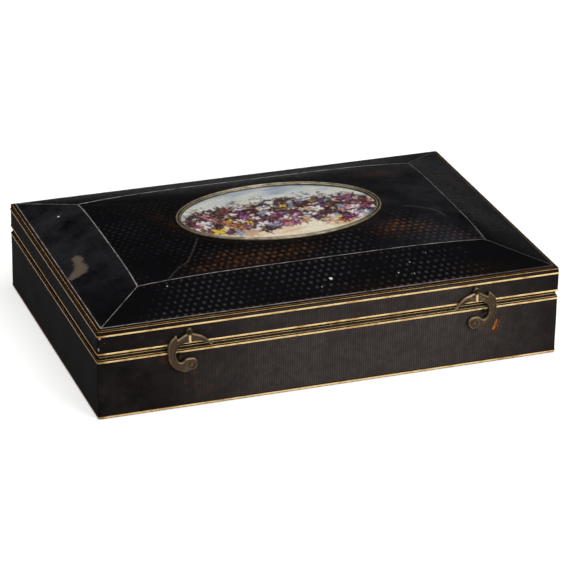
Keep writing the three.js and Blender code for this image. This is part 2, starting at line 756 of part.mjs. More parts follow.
const rivetHeadFoot = hookFront + FACE_GAP;
const rivetProfile = [
  [0, -NAIL_DEPTH],
  [RIVET_RADIUS, RIVET_RADIUS - NAIL_DEPTH],
  [RIVET_RADIUS, rivetHeadFoot],
  ...RIVET_HEAD_DOME.map(([out, up]) => [
    out * RIVET_HEAD_RADIUS, rivetHeadFoot + up * RIVET_HEAD_HEIGHT]),
];
const washerProfile = [
  [RIVET_RADIUS + HOLE_GAP, washerBack],
  [WASHER_RADIUS, washerBack],
  [WASHER_RADIUS, washerBack + WASHER / 2],
  [WASHER_RADIUS - WASHER / 2, washerBack + WASHER],
  [RIVET_RADIUS + HOLE_GAP, washerBack + WASHER],
  [RIVET_RADIUS + HOLE_GAP, washerBack],
];
const studEnd = hookFront - FACE_GAP;
const studProfile = [
  [0, -NAIL_DEPTH],
  [STUD_RADIUS, STUD_RADIUS - NAIL_DEPTH],
  [STUD_RADIUS, FACE_GAP],
  [STUD_FLANGE_RADIUS, FACE_GAP],
  [STUD_FLANGE_RADIUS, FACE_GAP + STUD_FLANGE / 2],
  [STUD_RADIUS, FACE_GAP + STUD_FLANGE],
  [STUD_RADIUS, studEnd - STUD_RADIUS / 2],
  [STUD_RADIUS / 2, studEnd],
  [0, studEnd],
];
for (const [name, hand] of Object.entries(hands)) {
  add(`hook_${name}`, hook(hand), bronze);
  add(`hook_rivet_${name}`, turnedAtFront(rivetProfile, hand * PIVOT_X, PIVOT_Z), bronze);
  add(`hook_washer_${name}`, turnedAtFront(washerProfile, hand * PIVOT_X, PIVOT_Z), bronze);
  add(`keeper_stud_${name}`, turnedAtFront(studProfile, hand * studX, studZ), bronze);
}

export default casket;
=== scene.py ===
"""Looks of a leather-covered casket with an oval enamel plaque and two cast hooks.

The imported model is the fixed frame. The leathers, tooled lines, plaque, hooks and silk are
modelled round it, with sizes measured on the frame, and every surface gets its finish.
"""

import logging
import math
from dataclasses import dataclass
from enum import Enum
from typing import Optional, Sequence

import bmesh
import bpy
import numpy as np
from mathutils import Matrix, Vector


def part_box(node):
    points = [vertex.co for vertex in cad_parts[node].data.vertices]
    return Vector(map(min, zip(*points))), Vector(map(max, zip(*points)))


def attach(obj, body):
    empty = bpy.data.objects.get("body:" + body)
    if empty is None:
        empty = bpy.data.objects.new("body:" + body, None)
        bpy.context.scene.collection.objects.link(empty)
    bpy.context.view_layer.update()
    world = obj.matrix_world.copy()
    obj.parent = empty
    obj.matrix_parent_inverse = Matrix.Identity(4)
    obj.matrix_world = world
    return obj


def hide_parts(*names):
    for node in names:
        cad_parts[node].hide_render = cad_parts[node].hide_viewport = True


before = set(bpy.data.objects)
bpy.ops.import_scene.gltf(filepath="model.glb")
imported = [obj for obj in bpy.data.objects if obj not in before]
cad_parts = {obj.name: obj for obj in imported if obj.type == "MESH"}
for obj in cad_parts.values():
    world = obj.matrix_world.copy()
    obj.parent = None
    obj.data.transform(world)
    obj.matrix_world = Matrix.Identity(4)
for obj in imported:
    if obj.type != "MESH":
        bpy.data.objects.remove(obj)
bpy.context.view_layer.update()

LOG = logging.getLogger("casket")
MM = 0.001
TURN = 2 * math.pi
WAVE_BAND = math.pi / 10  # length of one wave of a Wave Texture whose scale is 1
SHARP = 50.0  # angle in degrees past which an edge isn't smoothed
SURFACE_MAP = "surface"  # UV map in metres along the surface of a piece
GRAIN = "grain"  # how much the pressed grain stands up, from 0 to 1
RUB = "rub"  # how far the black is rubbed off, from 0 to 1
LIGHT_AND_TONE = "tone"  # painted light and shade of the wall leather, painted sheen on the lid's panels, painted highlights and shade on the hooks, and the bezel's tarnish, mostly from 0 to 1
DUST = "dust"  # brown scuffs above 0, and white specks below
POLISH = "polish"  # how far handling has polished the leather, from 0 to 1
PAINT = "paint"  # colours of the painted enamel

Array = np.ndarray
Points = np.ndarray  # x, y, z in millimetres along the last axis
Patches = Sequence[tuple[float, float, float, float, float]]
Socket, Material = bpy.types.NodeSocket, bpy.types.Material
Mesh, Piece = bpy.types.Mesh, bpy.types.Object


class Side(Enum):
    """A side of the casket."""

    FRONT = "front"
    RIGHT = "right"
    BACK = "back"
    LEFT = "left"


class Hand(Enum):
    """The left or right one of a pair, with its direction along X."""

    LEFT = -1
    RIGHT = 1

    @property
    def word(self) -> str:
        """The hand as it stands in the names of nodes."""
        return self.name.lower()


# Measuring the frame


def mesh_points(mesh: Mesh) -> Points:
    """Corners of a mesh.

    Args:
        mesh: The mesh.

    Returns:
        One row for each corner.
    """
    flat = np.zeros(len(mesh.vertices) * 3)
    mesh.vertices.foreach_get("co", flat)
    return flat.reshape(-1, 3) / MM


def node_points(node: str) -> Points:
    """Corners of a CAD node."""
    return mesh_points(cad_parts[node].data)


def level(points: Points, axis: int, value: float) -> Points:
    """Picks the points that lie at one value of an axis, 0 to 2 for X to Z."""
    return points[np.abs(points[:, axis] - value) < 0.01]


@dataclass(frozen=True)
class Sizes:
    """Main sizes of the casket in millimetres, all of them read from the frame."""

    half_length: float
    half_width: float
    wrap: float
    groove: float
    base_foot: float
    base_face: float
    base_land: float
    lid_land: float
    lid_foot: float
    lid_face: float
    hip_foot: float
    moulding_run: float
    seam: float
    panel_inset: float
    panel_corner: float
    edge_crown: float
    seat: float
    bed_inset: float
    bezel_long: float
    bezel_short: float

    @classmethod
    def measured(cls) -> "Sizes":
        """Measures the frame.

        Returns:
            The sizes.
        """
        base, rim = node_points("base_leather"), node_points("lid_leather_rim")
        top, slope = node_points("lid_leather_top"), node_points("lid_leather_front")
        bezel = node_points("plaque_bezel")
        half_width = base[:, 1].max()
        base_wall, rim_wall = level(base, 1, -half_width), level(rim, 1, -half_width)
        land = level(base, 2, base[:, 2].max())
        border = level(top, 1, top[:, 1].min())
        border_end = level(border, 0, border[:, 0].max())
        oval = level(top, 2, top[:, 2].max())
        seam = (-slope[:, 1].max() - -top[:, 1].min()) / 2
        return cls(
            half_length=base[:, 0].max(),
            half_width=half_width,
            wrap=half_width + land[land[:, 1] < 0][:, 1].max(),
            groove=half_width + land[:, 1].min(),
            base_foot=base_wall[:, 2].min(),
            base_face=base_wall[:, 2].max(),
            base_land=base[:, 2].max(),
            lid_land=rim[:, 2].min(),
            lid_foot=rim_wall[:, 2].min(),
            lid_face=rim_wall[:, 2].max(),
            hip_foot=rim[:, 2].max(),
            moulding_run=half_width + level(rim, 2, rim[:, 2].max())[:, 1].min(),
            seam=seam,
            panel_inset=half_width + top[:, 1].min() - seam,
            panel_corner=border_end[:, 2].max(),
            edge_crown=border[:, 2].max() - border_end[:, 2].max(),
            seat=top[:, 2].max(),
            bed_inset=bezel[:, 0].max() - oval[:, 0].max(),
            bezel_long=bezel[:, 0].max(),
            bezel_short=bezel[:, 1].max(),
        )

    def half(self, side: Side) -> float:
        """Half of the casket's size along one side."""
        return self.half_length if side in (Side.FRONT, Side.BACK) else self.half_width


# Node trees


def linear(colour: str) -> tuple[float, float, float, float]:
    """Turns an sRGB hex colour to linear light.

    Args:
        colour: Six hex digits.

    Returns:
        Red, green, blue and full alpha.
    """
    parts = [int(colour[i : i + 2], 16) / 255 for i in (0, 2, 4)]
    lit = [c / 12.92 if c <= 0.04045 else ((c + 0.055) / 1.055) ** 2.4 for c in parts]
    return lit[0], lit[1], lit[2], 1.0


def per_mm(size: float) -> float:
    """Scale of a texture whose features are that many millimetres wide."""
    return 1 / (size * MM)


def add_node(
    tree: bpy.types.NodeTree, kind: str, inputs: Optional[dict] = None,
    stops: Sequence[tuple[float, str]] = (), **settings: object,
) -> bpy.types.Node:
    """Adds a node with its settings and links.

    Args:
        tree: Tree that gets the node.
        kind: Type name of the node.
        inputs: Sockets by name or number, each with a value or with the socket that feeds it.
        stops: Places and hex colours of a colour ramp.
        settings: Attributes of the node.

    Returns:
        The node.
    """
    node = tree.nodes.new(kind)
    for name, value in settings.items():
        setattr(node, name, value)
    for key, value in (inputs or {}).items():
        if isinstance(value, Socket):
            tree.links.new(value, node.inputs[key])
        else:
            node.inputs[key].default_value = value
    if stops:
        elements = node.color_ramp.elements
        while len(elements) < len(stops):
            elements.new(1.0)
        for element, (place, colour) in zip(elements, stops):
            element.position = place
            element.color = linear(colour)
    return node


class Look:
    """A material in the making: one Principled shader and short calls for what feeds it."""

    def __init__(self, name: str, **values: object) -> None:
        """Starts the material.

        Args:
            name: Name of the material.
            values: Constant values of the shader's sockets, with _ for a blank.
        """
        self.material = bpy.data.materials.new(name)
        self.material.use_nodes = True
        self.tree = self.material.node_tree
        self.tree.nodes.clear()
        plain = {key.replace("_", " "): value for key, value in values.items()}
        self.shader = add_node(self.tree, "ShaderNodeBsdfPrincipled", plain)
        add_node(self.tree, "ShaderNodeOutputMaterial", {"Surface": self.shader.outputs["BSDF"]})

    def finished(self, **fed: Socket) -> Material:
        """Feeds the shader.

        Args:
            fed: What feeds each of its sockets, with _ for a blank.

        Returns:
            The material.
        """
        for key, socket in fed.items():
            self.tree.links.new(socket, self.shader.inputs[key.replace("_", " ")])
        return self.material

    def put(
        self, kind: str, output: object, inputs: Optional[dict] = None, **settings: object,
    ) -> Socket:
        """Adds a shader node, and gives one of its outputs by name or number."""
        return add_node(self.tree, f"ShaderNode{kind}", inputs, **settings).outputs[output]

    def place(self) -> Socket:
        """Place of the shaded point on its piece."""
        return self.put("TexCoord", "Object")

    def along(self) -> Socket:
        """Place of the shaded point along the surface."""
        return self.put("UVMap", 0, uv_map=SURFACE_MAP)

    def value(self, key: str, output: str = "Fac") -> Socket:
        """What the piece holds at the shaded point under an attribute's name."""
        return self.put("Attribute", output, attribute_name=key)

    def noise(
        self, width: float, detail: float, roughness: float = 0.5, distortion: float = 0.0,
    ) -> Socket:
        """Noise whose features are that many millimetres wide."""
        return self.put("TexNoise", "Fac", {
            "Vector": self.place(), "Scale": per_mm(width), "Detail": detail,
            "Roughness": roughness, "Distortion": distortion})

    def wave(
        self, vector: Socket, pitch: float, distortion: float, detail: float,
        scale: float = 1.0, roughness: float = 0.5, direction: str = "X",
    ) -> Socket:
        """Bands that many millimetres apart, bent by noise of a scale and roughness."""
        return self.put("TexWave", "Fac", {
            "Vector": vector, "Scale": WAVE_BAND * per_mm(pitch), "Distortion": distortion,
            "Detail": detail, "Detail Scale": scale, "Detail Roughness": roughness,
        }, bands_direction=direction)

    def spread(
        self, value: Socket, low: float, high: float, start: float = 0.0, end: float = 1.0,
    ) -> Socket:
        """Carries the range from low to high over to the one from start to end."""
        return self.put("MapRange", "Result", {
            "Value": value, "From Min": low, "From Max": high, "To Min": start, "To Max": end})

    def maths(self, operation: str, one: Socket, other: object, clamp: bool = False) -> Socket:
        """Joins two numbers."""
        return self.put("Math", 0, {0: one, 1: other}, operation=operation, use_clamp=clamp)

    def times(self, one: Socket, other: object, clamp: bool = False) -> Socket:
        """Multiplies two numbers."""
        return self.maths("MULTIPLY", one, other, clamp)

    def plus(self, one: Socket, other: Socket, clamp: bool = False) -> Socket:
        """Adds two numbers."""
        return self.maths("ADD", one, other, clamp)

    def ramp(self, value: Socket, *stops: tuple[float, str]) -> Socket:
        """Colour ramp with stops as place and hex colour."""
        return self.put("ValToRGB", "Color", {"Fac": value}, stops=stops)

    def mixed(self, share: object, under: object, over: object) -> Socket:
        """Lays a share of one colour over another, each a hex colour or a socket."""
        under, over = (linear(c) if isinstance(c, str) else c for c in (under, over))
        return self.put("Mix", 2, {0: share, 6: under, 7: over}, data_type="RGBA")

    def layered(self, colour: object, *layers: tuple[Socket, str]) -> Socket:
        """Lays several colours over a first one.

        Args:
            colour: The first one.
            layers: How much of each colour shows, and the colour, from below up.

        Returns:
            The mixed colour.
        """
        for share, layer in layers:
            colour = self.mixed(share, colour, layer)
        return colour

    def bump(
        self, height: Socket, depth: float, strength: float, under: Optional[Socket] = None,
    ) -> Socket:
        """Relief of that many millimetres, over another one if there is one."""
        inputs = {"Height": height, "Distance": depth * MM, "Strength": strength}
        return self.put("Bump", 0, inputs if under is None else {**inputs, "Normal": under})


# Finishes


@dataclass(frozen=True)
class RibbedGoatskin:
    """Straight-grained goatskin, dyed brown-black and pressed into fine upright ribs.

    The ribs catch the light as a fine vertical lining, with a painted highlight on their crests, and
    wear shows the red-brown dye. The black is painted lighter where more light falls on a wall, as
    painted light and shade.
    """

    # painted shade: the black where little light falls on a wall
    deep: str = "0c0a0b"
    dye: str = "3a3432"
    # painted highlight on the crests of the ribs
    ridge_highlight: str = "504b48"
    brown: str = "2a1a14"
    worn: str = "52301f"
    bare: str = "b4743c"
    speck: str = "a9a49a"
    rib_pitch: float = 1.3
    rib_depth: float = 0.07
    grain_width: float = 0.45
    grain_depth: float = 0.06
    noise_roughness: float = 0.68

    def material(self) -> Material:
        """Makes the material.

        Returns:
            The material, which reads the surface map and four attributes of the leather.
        """
        look = Look("ribbed_goatskin", Roughness=0.62, Specular_IOR_Level=0.01)
        upright, tone, rub, dust = (look.value(key) for key in (GRAIN, LIGHT_AND_TONE, RUB, DUST))
        cloud, flecks, grain = (
            look.noise(width, detail, self.noise_roughness)
            for width, detail in ((22, 6), (4, 5), (self.grain_width, 2)))
        wave = look.wave(look.along(), self.rib_pitch, 3.4, 4, scale=1.6, roughness=0.75)
        ribs = look.times(look.times(wave, look.spread(flecks, 0.34, 0.62, 0.12)), upright)
        # The tone attribute holds painted light and shade, with a random cloudy tone over it; the
        # rib crests take a painted highlight, strongest where the wall is lit
        faded = look.plus(tone, look.spread(cloud, 0.3, 0.7, -0.16, 0.16), clamp=True)
        crest = look.times(ribs, look.times(faded, faded))
        ragged = look.plus(rub, flecks)
        lined = look.mixed(crest, look.mixed(faded, self.deep, self.dye), self.ridge_highlight)
        colour = look.layered(
            look.mixed(upright, self.brown, lined),
            (look.spread(flecks, 0.6, 0.76, 0, 0.5), self.worn),
            (look.spread(ragged, 0.72, 1.2, 0, 0.85), self.worn),
            (look.spread(ragged, 1.25, 1.5), self.bare),
            (look.spread(look.plus(dust, flecks), 0.95, 1.15), self.speck))
        pressed = look.bump(crest, self.rib_depth, 0.5)
        return look.finished(
            Base_Color=colour, Normal=look.bump(grain, self.grain_depth, 0.5, pressed))


@dataclass(frozen=True)
class DicedGoatskin:
    """Blue-black goatskin pressed all over with small round grains, polished by handling.

    The grains shine as rows of small dots, with a painted shine on their tops, and handling rubs
    them orange-brown. A grey-blue haze of painted sheen lies over it where the light glances off.
    """

    valley: str = "09080a"
    # painted shine on the tops of the grains
    crest: str = "323237"
    # painted sheen: a grey-blue haze where the light glances off the leather
    sheen_haze: str = "35363a"
    worn: str = "875633"
    dusty: str = "74665a"
    speck: str = "dcdad4"
    pore_width: float = 0.5
    pore_depth: float = 0.07
    grain_depth: float = 0.14
    noise_roughness: float = 0.68

    def material(self) -> Material:
        """Makes the material.

        Returns:
            The material, which reads the five attributes of the leather.
        """
        look = Look("diced_goatskin")
        grain, tone, rub, dust, polish = (
            look.value(key) for key in (GRAIN, LIGHT_AND_TONE, RUB, DUST, POLISH))
        patches, fine, pores = (
            look.noise(width, detail, self.noise_roughness)
            for width, detail in ((24, 5), (2.4, 4), (self.pore_width, 3)))
        shown = look.times(grain, patches)
        tips = look.spread(look.plus(fine, grain), 0.42, 1.25)
        # The grain tops take a painted shine, and the tone attribute lays the painted sheen over
        # them in patches
        colour = look.layered(
            look.ramp(shown, (0.06, self.valley), (0.5, self.crest)),
            (look.times(look.spread(patches, 0.3, 0.68), tone), self.sheen_haze),
            (look.times(tips, rub, clamp=True), self.worn),
            (look.spread(look.plus(dust, fine), 0.86, 1.25, 0, 0.8), self.dusty),
            (look.spread(dust, -0.4, -1.0), self.speck))
        shine = look.times(look.spread(shown, 0.08, 0.5, 0.03, 0.22), polish)
        pressed = look.bump(grain, self.grain_depth, 0.7)
        return look.finished(
            Base_Color=colour, Specular_IOR_Level=shine,
            Roughness=look.spread(fine, 0.3, 0.7, 0.34, 0.54),
            Normal=look.bump(pores, self.pore_depth, 0.45, pressed))


@dataclass(frozen=True)
class RubbedMetal:
    """Metal with bright rubbed places over a duller tone, for gold leaf, bronze and brass.

    High places and rubbed patches shine, and the rest keeps its tarnish.
    """

    name: str
    bright: str
    dull: str
    patch: float
    metallic: float = 1.0
    roughness: tuple[float, float] = (0.3, 0.5)
    balance: tuple[float, float] = (0.4, 0.62)
    dent: float = 0.05
    dent_width: float = 1.2
    edges: float = 0.0
    gloss: float = 0.5
    # colour where the tone attribute is low: tarnish on the bezel, and painted shade on the hooks
    grime_and_shade: str = ""
    shaded: str = ""  # tone mixed in towards one end of the casket: painted light and shade on the left side's gold lines, the rubbed-off end of the shoulder leaf, and a darker right end of the blind lines
    shade_at: tuple[float, float] = (-0.134, -0.137)  # along X, from none of it to most

    def material(self) -> Material:
        """Makes the material.

        Returns:
            The material, which reads the tone attribute where it has a grime and shade colour.
        """
        look = Look(self.name, Metallic=self.metallic, Specular_IOR_Level=self.gloss)
        worn = look.spread(look.noise(self.patch, 5, 0.65), *self.balance)
        if self.edges:
            pointed = look.put("NewGeometry", "Pointiness")
            worn = look.plus(worn, look.spread(pointed, 0.5, 0.62, 0, self.edges), clamp=True)
        colour = look.mixed(worn, self.dull, self.bright)
        # Low tone mixes in the grime and shade colour and tone above 1 the bright one: tarnish in
        # the bezel's hollows, painted shade and painted highlights on the hooks
        if self.grime_and_shade:
            brightness = look.value(LIGHT_AND_TONE)
            colour = look.mixed(brightness, self.grime_and_shade, colour)
            colour = look.mixed(look.spread(brightness, 1, 2), colour, self.bright)
        if self.shaded:
            across = look.put("SeparateXYZ", "X", {0: look.place()})
            colour = look.mixed(look.spread(across, *self.shade_at, 0, 0.85), colour, self.shaded)
        return look.finished(
            Base_Color=colour, Roughness=look.spread(worn, 0, 1, *self.roughness[::-1]),
            Normal=look.bump(look.noise(self.dent_width, 3), self.dent, 0.6))


@dataclass(frozen=True)
class FiredEnamel:
    """Painted enamel under a clear fired glaze: even colour, and a sharp wet shine."""

    brush_width: float = 1.4
    brush_depth: float = 0.04

    def material(self) -> Material:
        """Makes the material.

        Returns:
            The material, which reads the paint attribute.
        """
        look = Look("fired_enamel", Roughness=0.32, Coat_Weight=0.7, Coat_Roughness=0.08,
                    IOR=1.5, Specular_IOR_Level=0.35)
        strokes = look.noise(self.brush_width, 3)
        shade = look.spread(strokes, 0.25, 0.75, 0.86, 1.08)
        colour = look.put("VectorMath", 0, {0: look.value(PAINT, "Color"), "Scale": shade},
                          operation="SCALE")
        return look.finished(
            Base_Color=colour, Normal=look.bump(strokes, self.brush_depth, 0.4))


@dataclass(frozen=True)
class RibbedSilk:
    """Faded crimson silk with a fine cross rib: a soft lustre, darker where it turns away."""

    thread: str = "8d2f3b"
    faded: str = "98424d"
    shade: str = "7c2733"
    lustre: str = "e9b9b4"
    fading_width: float = 40
    rib_pitch: float = 0.7
    rib_depth: float = 0.08

    def material(self) -> Material:
        """Makes the material.

        Returns:
            The material, which reads the surface map.
        """
        look = Look("ribbed_silk", Roughness=0.48, Sheen_Weight=0.45, Sheen_Roughness=0.35,
                    Sheen_Tint=linear(self.lustre), Specular_IOR_Level=0.4)
        colour = look.ramp(look.noise(self.fading_width, 3), (0.3, self.shade),
                           (0.5, self.thread), (0.72, self.faded))
        ribs = look.wave(look.along(), self.rib_pitch, 0.5, 1, direction="Y")
        tone = look.mixed(0.4, colour, look.mixed(ribs, self.shade, colour))
        return look.finished(Base_Color=tone, Normal=look.bump(ribs, self.rib_depth, 0.6))


@dataclass(frozen=True)
class SawnPine:
    """Pine boards, sawn and planed: pale yellow-brown with darker growth rings."""

    pale: str = "b08a5a"
    ring: str = "7c5731"
    ring_width: float = 3.5
    ring_depth: float = 0.06
    stretch: tuple[float, float, float] = (0.12, 0.12, 1.0)

    def material(self) -> Material:
        """Makes the material.

        Returns:
            The material.
        """
        look = Look("sawn_pine", Roughness=0.68, Specular_IOR_Level=0.3)
        drawn_out = look.put("Mapping", 0, {"Vector": look.place(), "Scale": self.stretch})
        rings = look.wave(drawn_out, self.ring_width, 6, 3, direction="Z")
        return look.finished(Base_Color=look.mixed(rings, self.ring, self.pale),
                             Normal=look.bump(rings, self.ring_depth, 0.5))


@dataclass(frozen=True)
class CombedPaper:
    """Paste paper and card: brown sheets, mottled where the paste was brushed on."""

    name: str
    pale: str
    dark: str
    mottle: float = 7.0
    fibre_width: float = 0.6
    fibre_depth: float = 0.08

    def material(self) -> Material:
        """Makes the material.

        Returns:
            The material.
        """
        look = Look(self.name, Roughness=0.9, Specular_IOR_Level=0.2)
        mottling = look.noise(self.mottle, 6, distortion=1.2)
        return look.finished(
            Base_Color=look.ramp(mottling, (0.35, self.dark), (0.65, self.pale)),
            Normal=look.bump(look.noise(self.fibre_width, 3), self.fibre_depth, 0.5))


WALL_LEATHER = RibbedGoatskin()
PANEL_LEATHER = DicedGoatskin()
# Gold leaf pressed into the leather: warm and bright, and thinner in places, with painted shade on
# the left side
GOLD_LEAF = RubbedMetal(
    "gold_leaf", "fcd998", "b98844", patch=9, metallic=0.15, roughness=(0.42, 0.58),
    balance=(0.3, 0.54), gloss=0.12, shaded="92682c",
)
# The same leaf in the mouldings, half gone, so that it glints brown-gold, and painted lighter on the
# left side
WORN_LEAF = RubbedMetal(
    "worn_gold_leaf", "e8c686", "967440", patch=7, metallic=0.15, roughness=(0.42, 0.6),
    balance=(0.32, 0.56), gloss=0.12, shaded="b08a4c",
)
# Leaf on the shoulder of the moulding, whole on the left and rubbed to streaks on the right
SHOULDER_LEAF = RubbedMetal(
    "shoulder_gold_leaf", "f2d094", "ae8446", patch=6, metallic=0.15, roughness=(0.42, 0.6),
    balance=(0.34, 0.6), gloss=0.12, shaded="8a6c3a", shade_at=(-0.05, 0.08),
)
# A line that has lost its gold: its polished crest is painted pale grey as a painted sheen, and the
# line is darker towards the right end
BLIND_LINE = RubbedMetal(
    "blind_tooled_leather", "a3a0a0", "565352", patch=8, metallic=0.0, roughness=(0.5, 0.65),
    balance=(0.35, 0.6), gloss=0.2, shaded="2c2827", shade_at=(0.07, 0.12),
)
# Cast bronze, brown with age and bright where fingers rub it; on the hooks the tone attribute paints
# highlights on the rims and collars, painted shade in the grooves inside the rims, and near-black at
# the pivot and on the fittings
BRONZE = RubbedMetal(
    "cast_bronze", "e0c698", "553c20", patch=5, metallic=0.6, balance=(0.55, 0.85),
    dent=0.08, dent_width=1.4, edges=0.8, grime_and_shade="1c130a",
)
# Gilt brass with a grey-brown tarnish in its hollows
GILT_BRASS = RubbedMetal(
    "gilt_brass", "bcb096", "7c7058", patch=6, metallic=0.6, roughness=(0.34, 0.55),
    balance=(0.38, 0.66), edges=0.3, grime_and_shade="2a251b",
)
# Rolled brass, dulled to a soft yellow
HINGE_BRASS = RubbedMetal(
    "rolled_brass", "c0a263", "806635", patch=7, roughness=(0.3, 0.45), balance=(0.3, 0.6),
)
ENAMEL = FiredEnamel()
SILK = RibbedSilk()
PINE = SawnPine()
COVER_PAPER = CombedPaper("paste_paper", "6f5040", "3d2a22")
CARD = CombedPaper("pasteboard", "7a624a", "54412f", mottle=4)


# Meshes


def linked(name: str, data: bpy.types.ID) -> Piece:
    """Puts an object into the scene.

    Args:
        name: Name of the object.
        data: Its mesh, camera or light.

    Returns:
        The object.
    """
    made = bpy.data.objects.new(name, data)
    bpy.context.scene.collection.objects.link(made)
    return made


def shade_smooth(mesh: Mesh) -> None:
    """Smooths the shading of every face."""
    mesh.polygons.foreach_set("use_smooth", [True] * len(mesh.polygons))


def set_values(mesh: Mesh, key: str, numbers: Array) -> None:
    """Gives a mesh an attribute.

    Args:
        mesh: The mesh.
        key: Name of the attribute.
        numbers: A number or a colour for each corner.
    """
    kind, field = ("FLOAT", "value") if numbers.ndim == 1 else ("FLOAT_COLOR", "color")
    mesh.attributes.new(key, kind, "POINT").data.foreach_set(field, numbers.ravel())


def turn_out(mesh: Mesh, merge: float = 0.0) -> None:
    """Makes the faces of a closed mesh point out.

    Args:
        mesh: The mesh.
        merge: Distance in metres within which corners are first merged, or 0 for none.
    """
    shell = bmesh.new()
    shell.from_mesh(mesh)
    if merge:
        bmesh.ops.remove_doubles(shell, verts=shell.verts, dist=merge)
    bmesh.ops.recalc_face_normals(shell, faces=shell.faces)
    shell.to_mesh(mesh)
    shell.free()


def bake_modifiers(piece: Piece) -> None:
    """Turns a piece's modifiers into its mesh and removes them."""
    graph = bpy.context.evaluated_depsgraph_get()
    made = bpy.data.meshes.new_from_object(
        piece.evaluated_get(graph), preserve_all_data_layers=True, depsgraph=graph)
    piece.modifiers.clear()
    piece.data = made


def make_piece(
    name: str, points: Points, quads: Array, material: Material,
    caps: Sequence[Sequence[int]] = (), surface: Optional[Array] = None,
    values: Optional[dict[str, Array]] = None, sharp: float = SHARP,
) -> Piece:
    """Makes an object from arrays.

    Args:
        name: Name of the piece.
        points: Corners in millimetres.
        quads: Rows of four corner numbers.
        material: Material of the whole piece.
        caps: Faces that close the ends.
        surface: Place of each quad's corners along the surface, in millimetres.
        values: Numbers or colours for each corner, by attribute name.
        sharp: Angle in degrees past which an edge isn't smoothed.

    Returns:
        The object, with its faces pointing out.
    """
    if signed_volume(points, quads) < 0:
        quads = quads[:, ::-1]
        surface = None if surface is None else surface[:, ::-1]
        caps = [list(reversed(cap)) for cap in caps]
    mesh = bpy.data.meshes.new(name)
    mesh.from_pydata((points * MM).tolist(), [], quads.tolist() + [list(c) for c in caps])
    shade_smooth(mesh)
    if surface is not None:
        flat = np.zeros(len(mesh.loops) * 2)
        flat[: surface.size] = surface.ravel() * MM
        mesh.uv_layers.new(name=SURFACE_MAP).data.foreach_set("uv", flat)
    for key, numbers in (values or {}).items():
        set_values(mesh, key, numbers)
    mesh.set_sharp_from_angle(angle=math.radians(sharp))
    mesh.materials.append(material)
    return linked(name, mesh)


def signed_volume(points: Points, quads: Array) -> float:
    """Six times the volume inside the quads, below 0 where they point in."""
    a, b, c, d = (points[quads[:, k]] for k in range(4))
    halves = np.einsum("ij,ij->i", a, np.cross(b, c)) + np.einsum("ij,ij->i", a, np.cross(c, d))
    return float(halves.sum())


def skin(grid: Points, wrap_rows: bool, wrap_columns: bool) -> tuple[Points, Array, Array]:
    """Joins a grid of points with quads.

    Args:
        grid: Points as rows by columns by 3.
        wrap_rows: Whether the last row joins the first.
        wrap_columns: Whether the last column joins the first.

    Returns:
        The points as a list, the quads, and the grid row and column of each quad's corners,
        which run on past the last one where the grid wraps.
    """
    rows, columns = grid.shape[:2]
    i, j = np.meshgrid(
        np.arange(rows if wrap_rows else rows - 1),
        np.arange(columns if wrap_columns else columns - 1), indexing="ij")
    corners = np.stack(
        [np.stack([i + di, j + dj], -1) for di, dj in ((0, 0), (0, 1), (1, 1), (1, 0))], 2,
    ).reshape(-1, 4, 2)
    quads = corners[..., 0] % rows * columns + corners[..., 1] % columns
    return grid.reshape(-1, 3), quads, corners


def end_caps(grid: Points) -> list[list[int]]:
    """Faces that close the first and the last row of a grid."""
    columns, count = grid.shape[1], grid.shape[0] * grid.shape[1]
    return [list(range(columns)), list(range(count - 1, count - columns - 1, -1))]


def closed_panel(grid: Points, bottom: float) -> tuple[Points, Array, list[list[int]]]:
    """Closes a panel with a wall round its border and a flat under side.

    Args:
        grid: Its upper side, as rows by columns by 3.
        bottom: Height of the under side.

    Returns:
        The points, the quads and the face below.
    """
    points, quads, _ = skin(grid, False, False)
    numbers = np.arange(len(points)).reshape(grid.shape[:2])
    rim = np.concatenate(
        [numbers[:-1, 0], numbers[-1, :-1], numbers[:0:-1, -1], numbers[0, :0:-1]])
    under = len(points) + np.arange(len(rim))
    wall = np.stack([np.roll(rim, -1), np.roll(under, -1), under, rim], 1)
    lower = np.column_stack([points[rim, :2], np.full(len(rim), bottom)])
    return np.vstack([points, lower]), np.vstack([quads, wall]), [under.tolist()]


def unrolled(corners: Array, run: Array, down: Array) -> Array:
    """Place of each quad's corners, along the rows and down the columns of its grid."""
    return np.stack([run[corners[..., 0]], down[corners[..., 1]]], -1)


def rounded(outline: Sequence[tuple[float, float, float]], steps: int = 4) -> Array:
    """Rounds the corners of an open section.

    Args:
        outline: Inset, height and corner radius of each point.
        steps: Pieces of each rounded corner.

    Returns:
        Rows of inset and height.
    """
    points = np.array([(x, z) for x, z, _ in outline], float)
    found = [points[0]]
    for k in range(1, len(points) - 1):
        before, here, after = points[k - 1], points[k], points[k + 1]
        radius = outline[k][2]
        if radius <= 0:
            found.append(here)
            continue
        runs = [np.linalg.norm(end - here) for end in (before, after)]
        back, on = (before - here) / runs[0], (after - here) / runs[1]
        half = math.acos(np.clip(back @ on, -1, 1)) / 2
        reach = min(radius / math.tan(half), 0.45 * min(runs))
        for share in np.linspace(0, 1, steps + 1):
            start, end = here + back * reach, here + on * reach
            found.append(
                (1 - share) ** 2 * start + 2 * share * (1 - share) * here + share ** 2 * end)
    found.append(points[-1])
    return np.array(found)


def subdivided(section: Array, step: float) -> Array:
    """Adds points to a section wherever two neighbours are more than a step apart."""
    found = [section[0]]
    for a, b in zip(section[:-1], section[1:]):
        pieces = max(1, math.ceil(np.linalg.norm(b - a) / step))
        found += [a + (b - a) * k / pieces for k in range(1, pieces + 1)]
    return np.array(found)


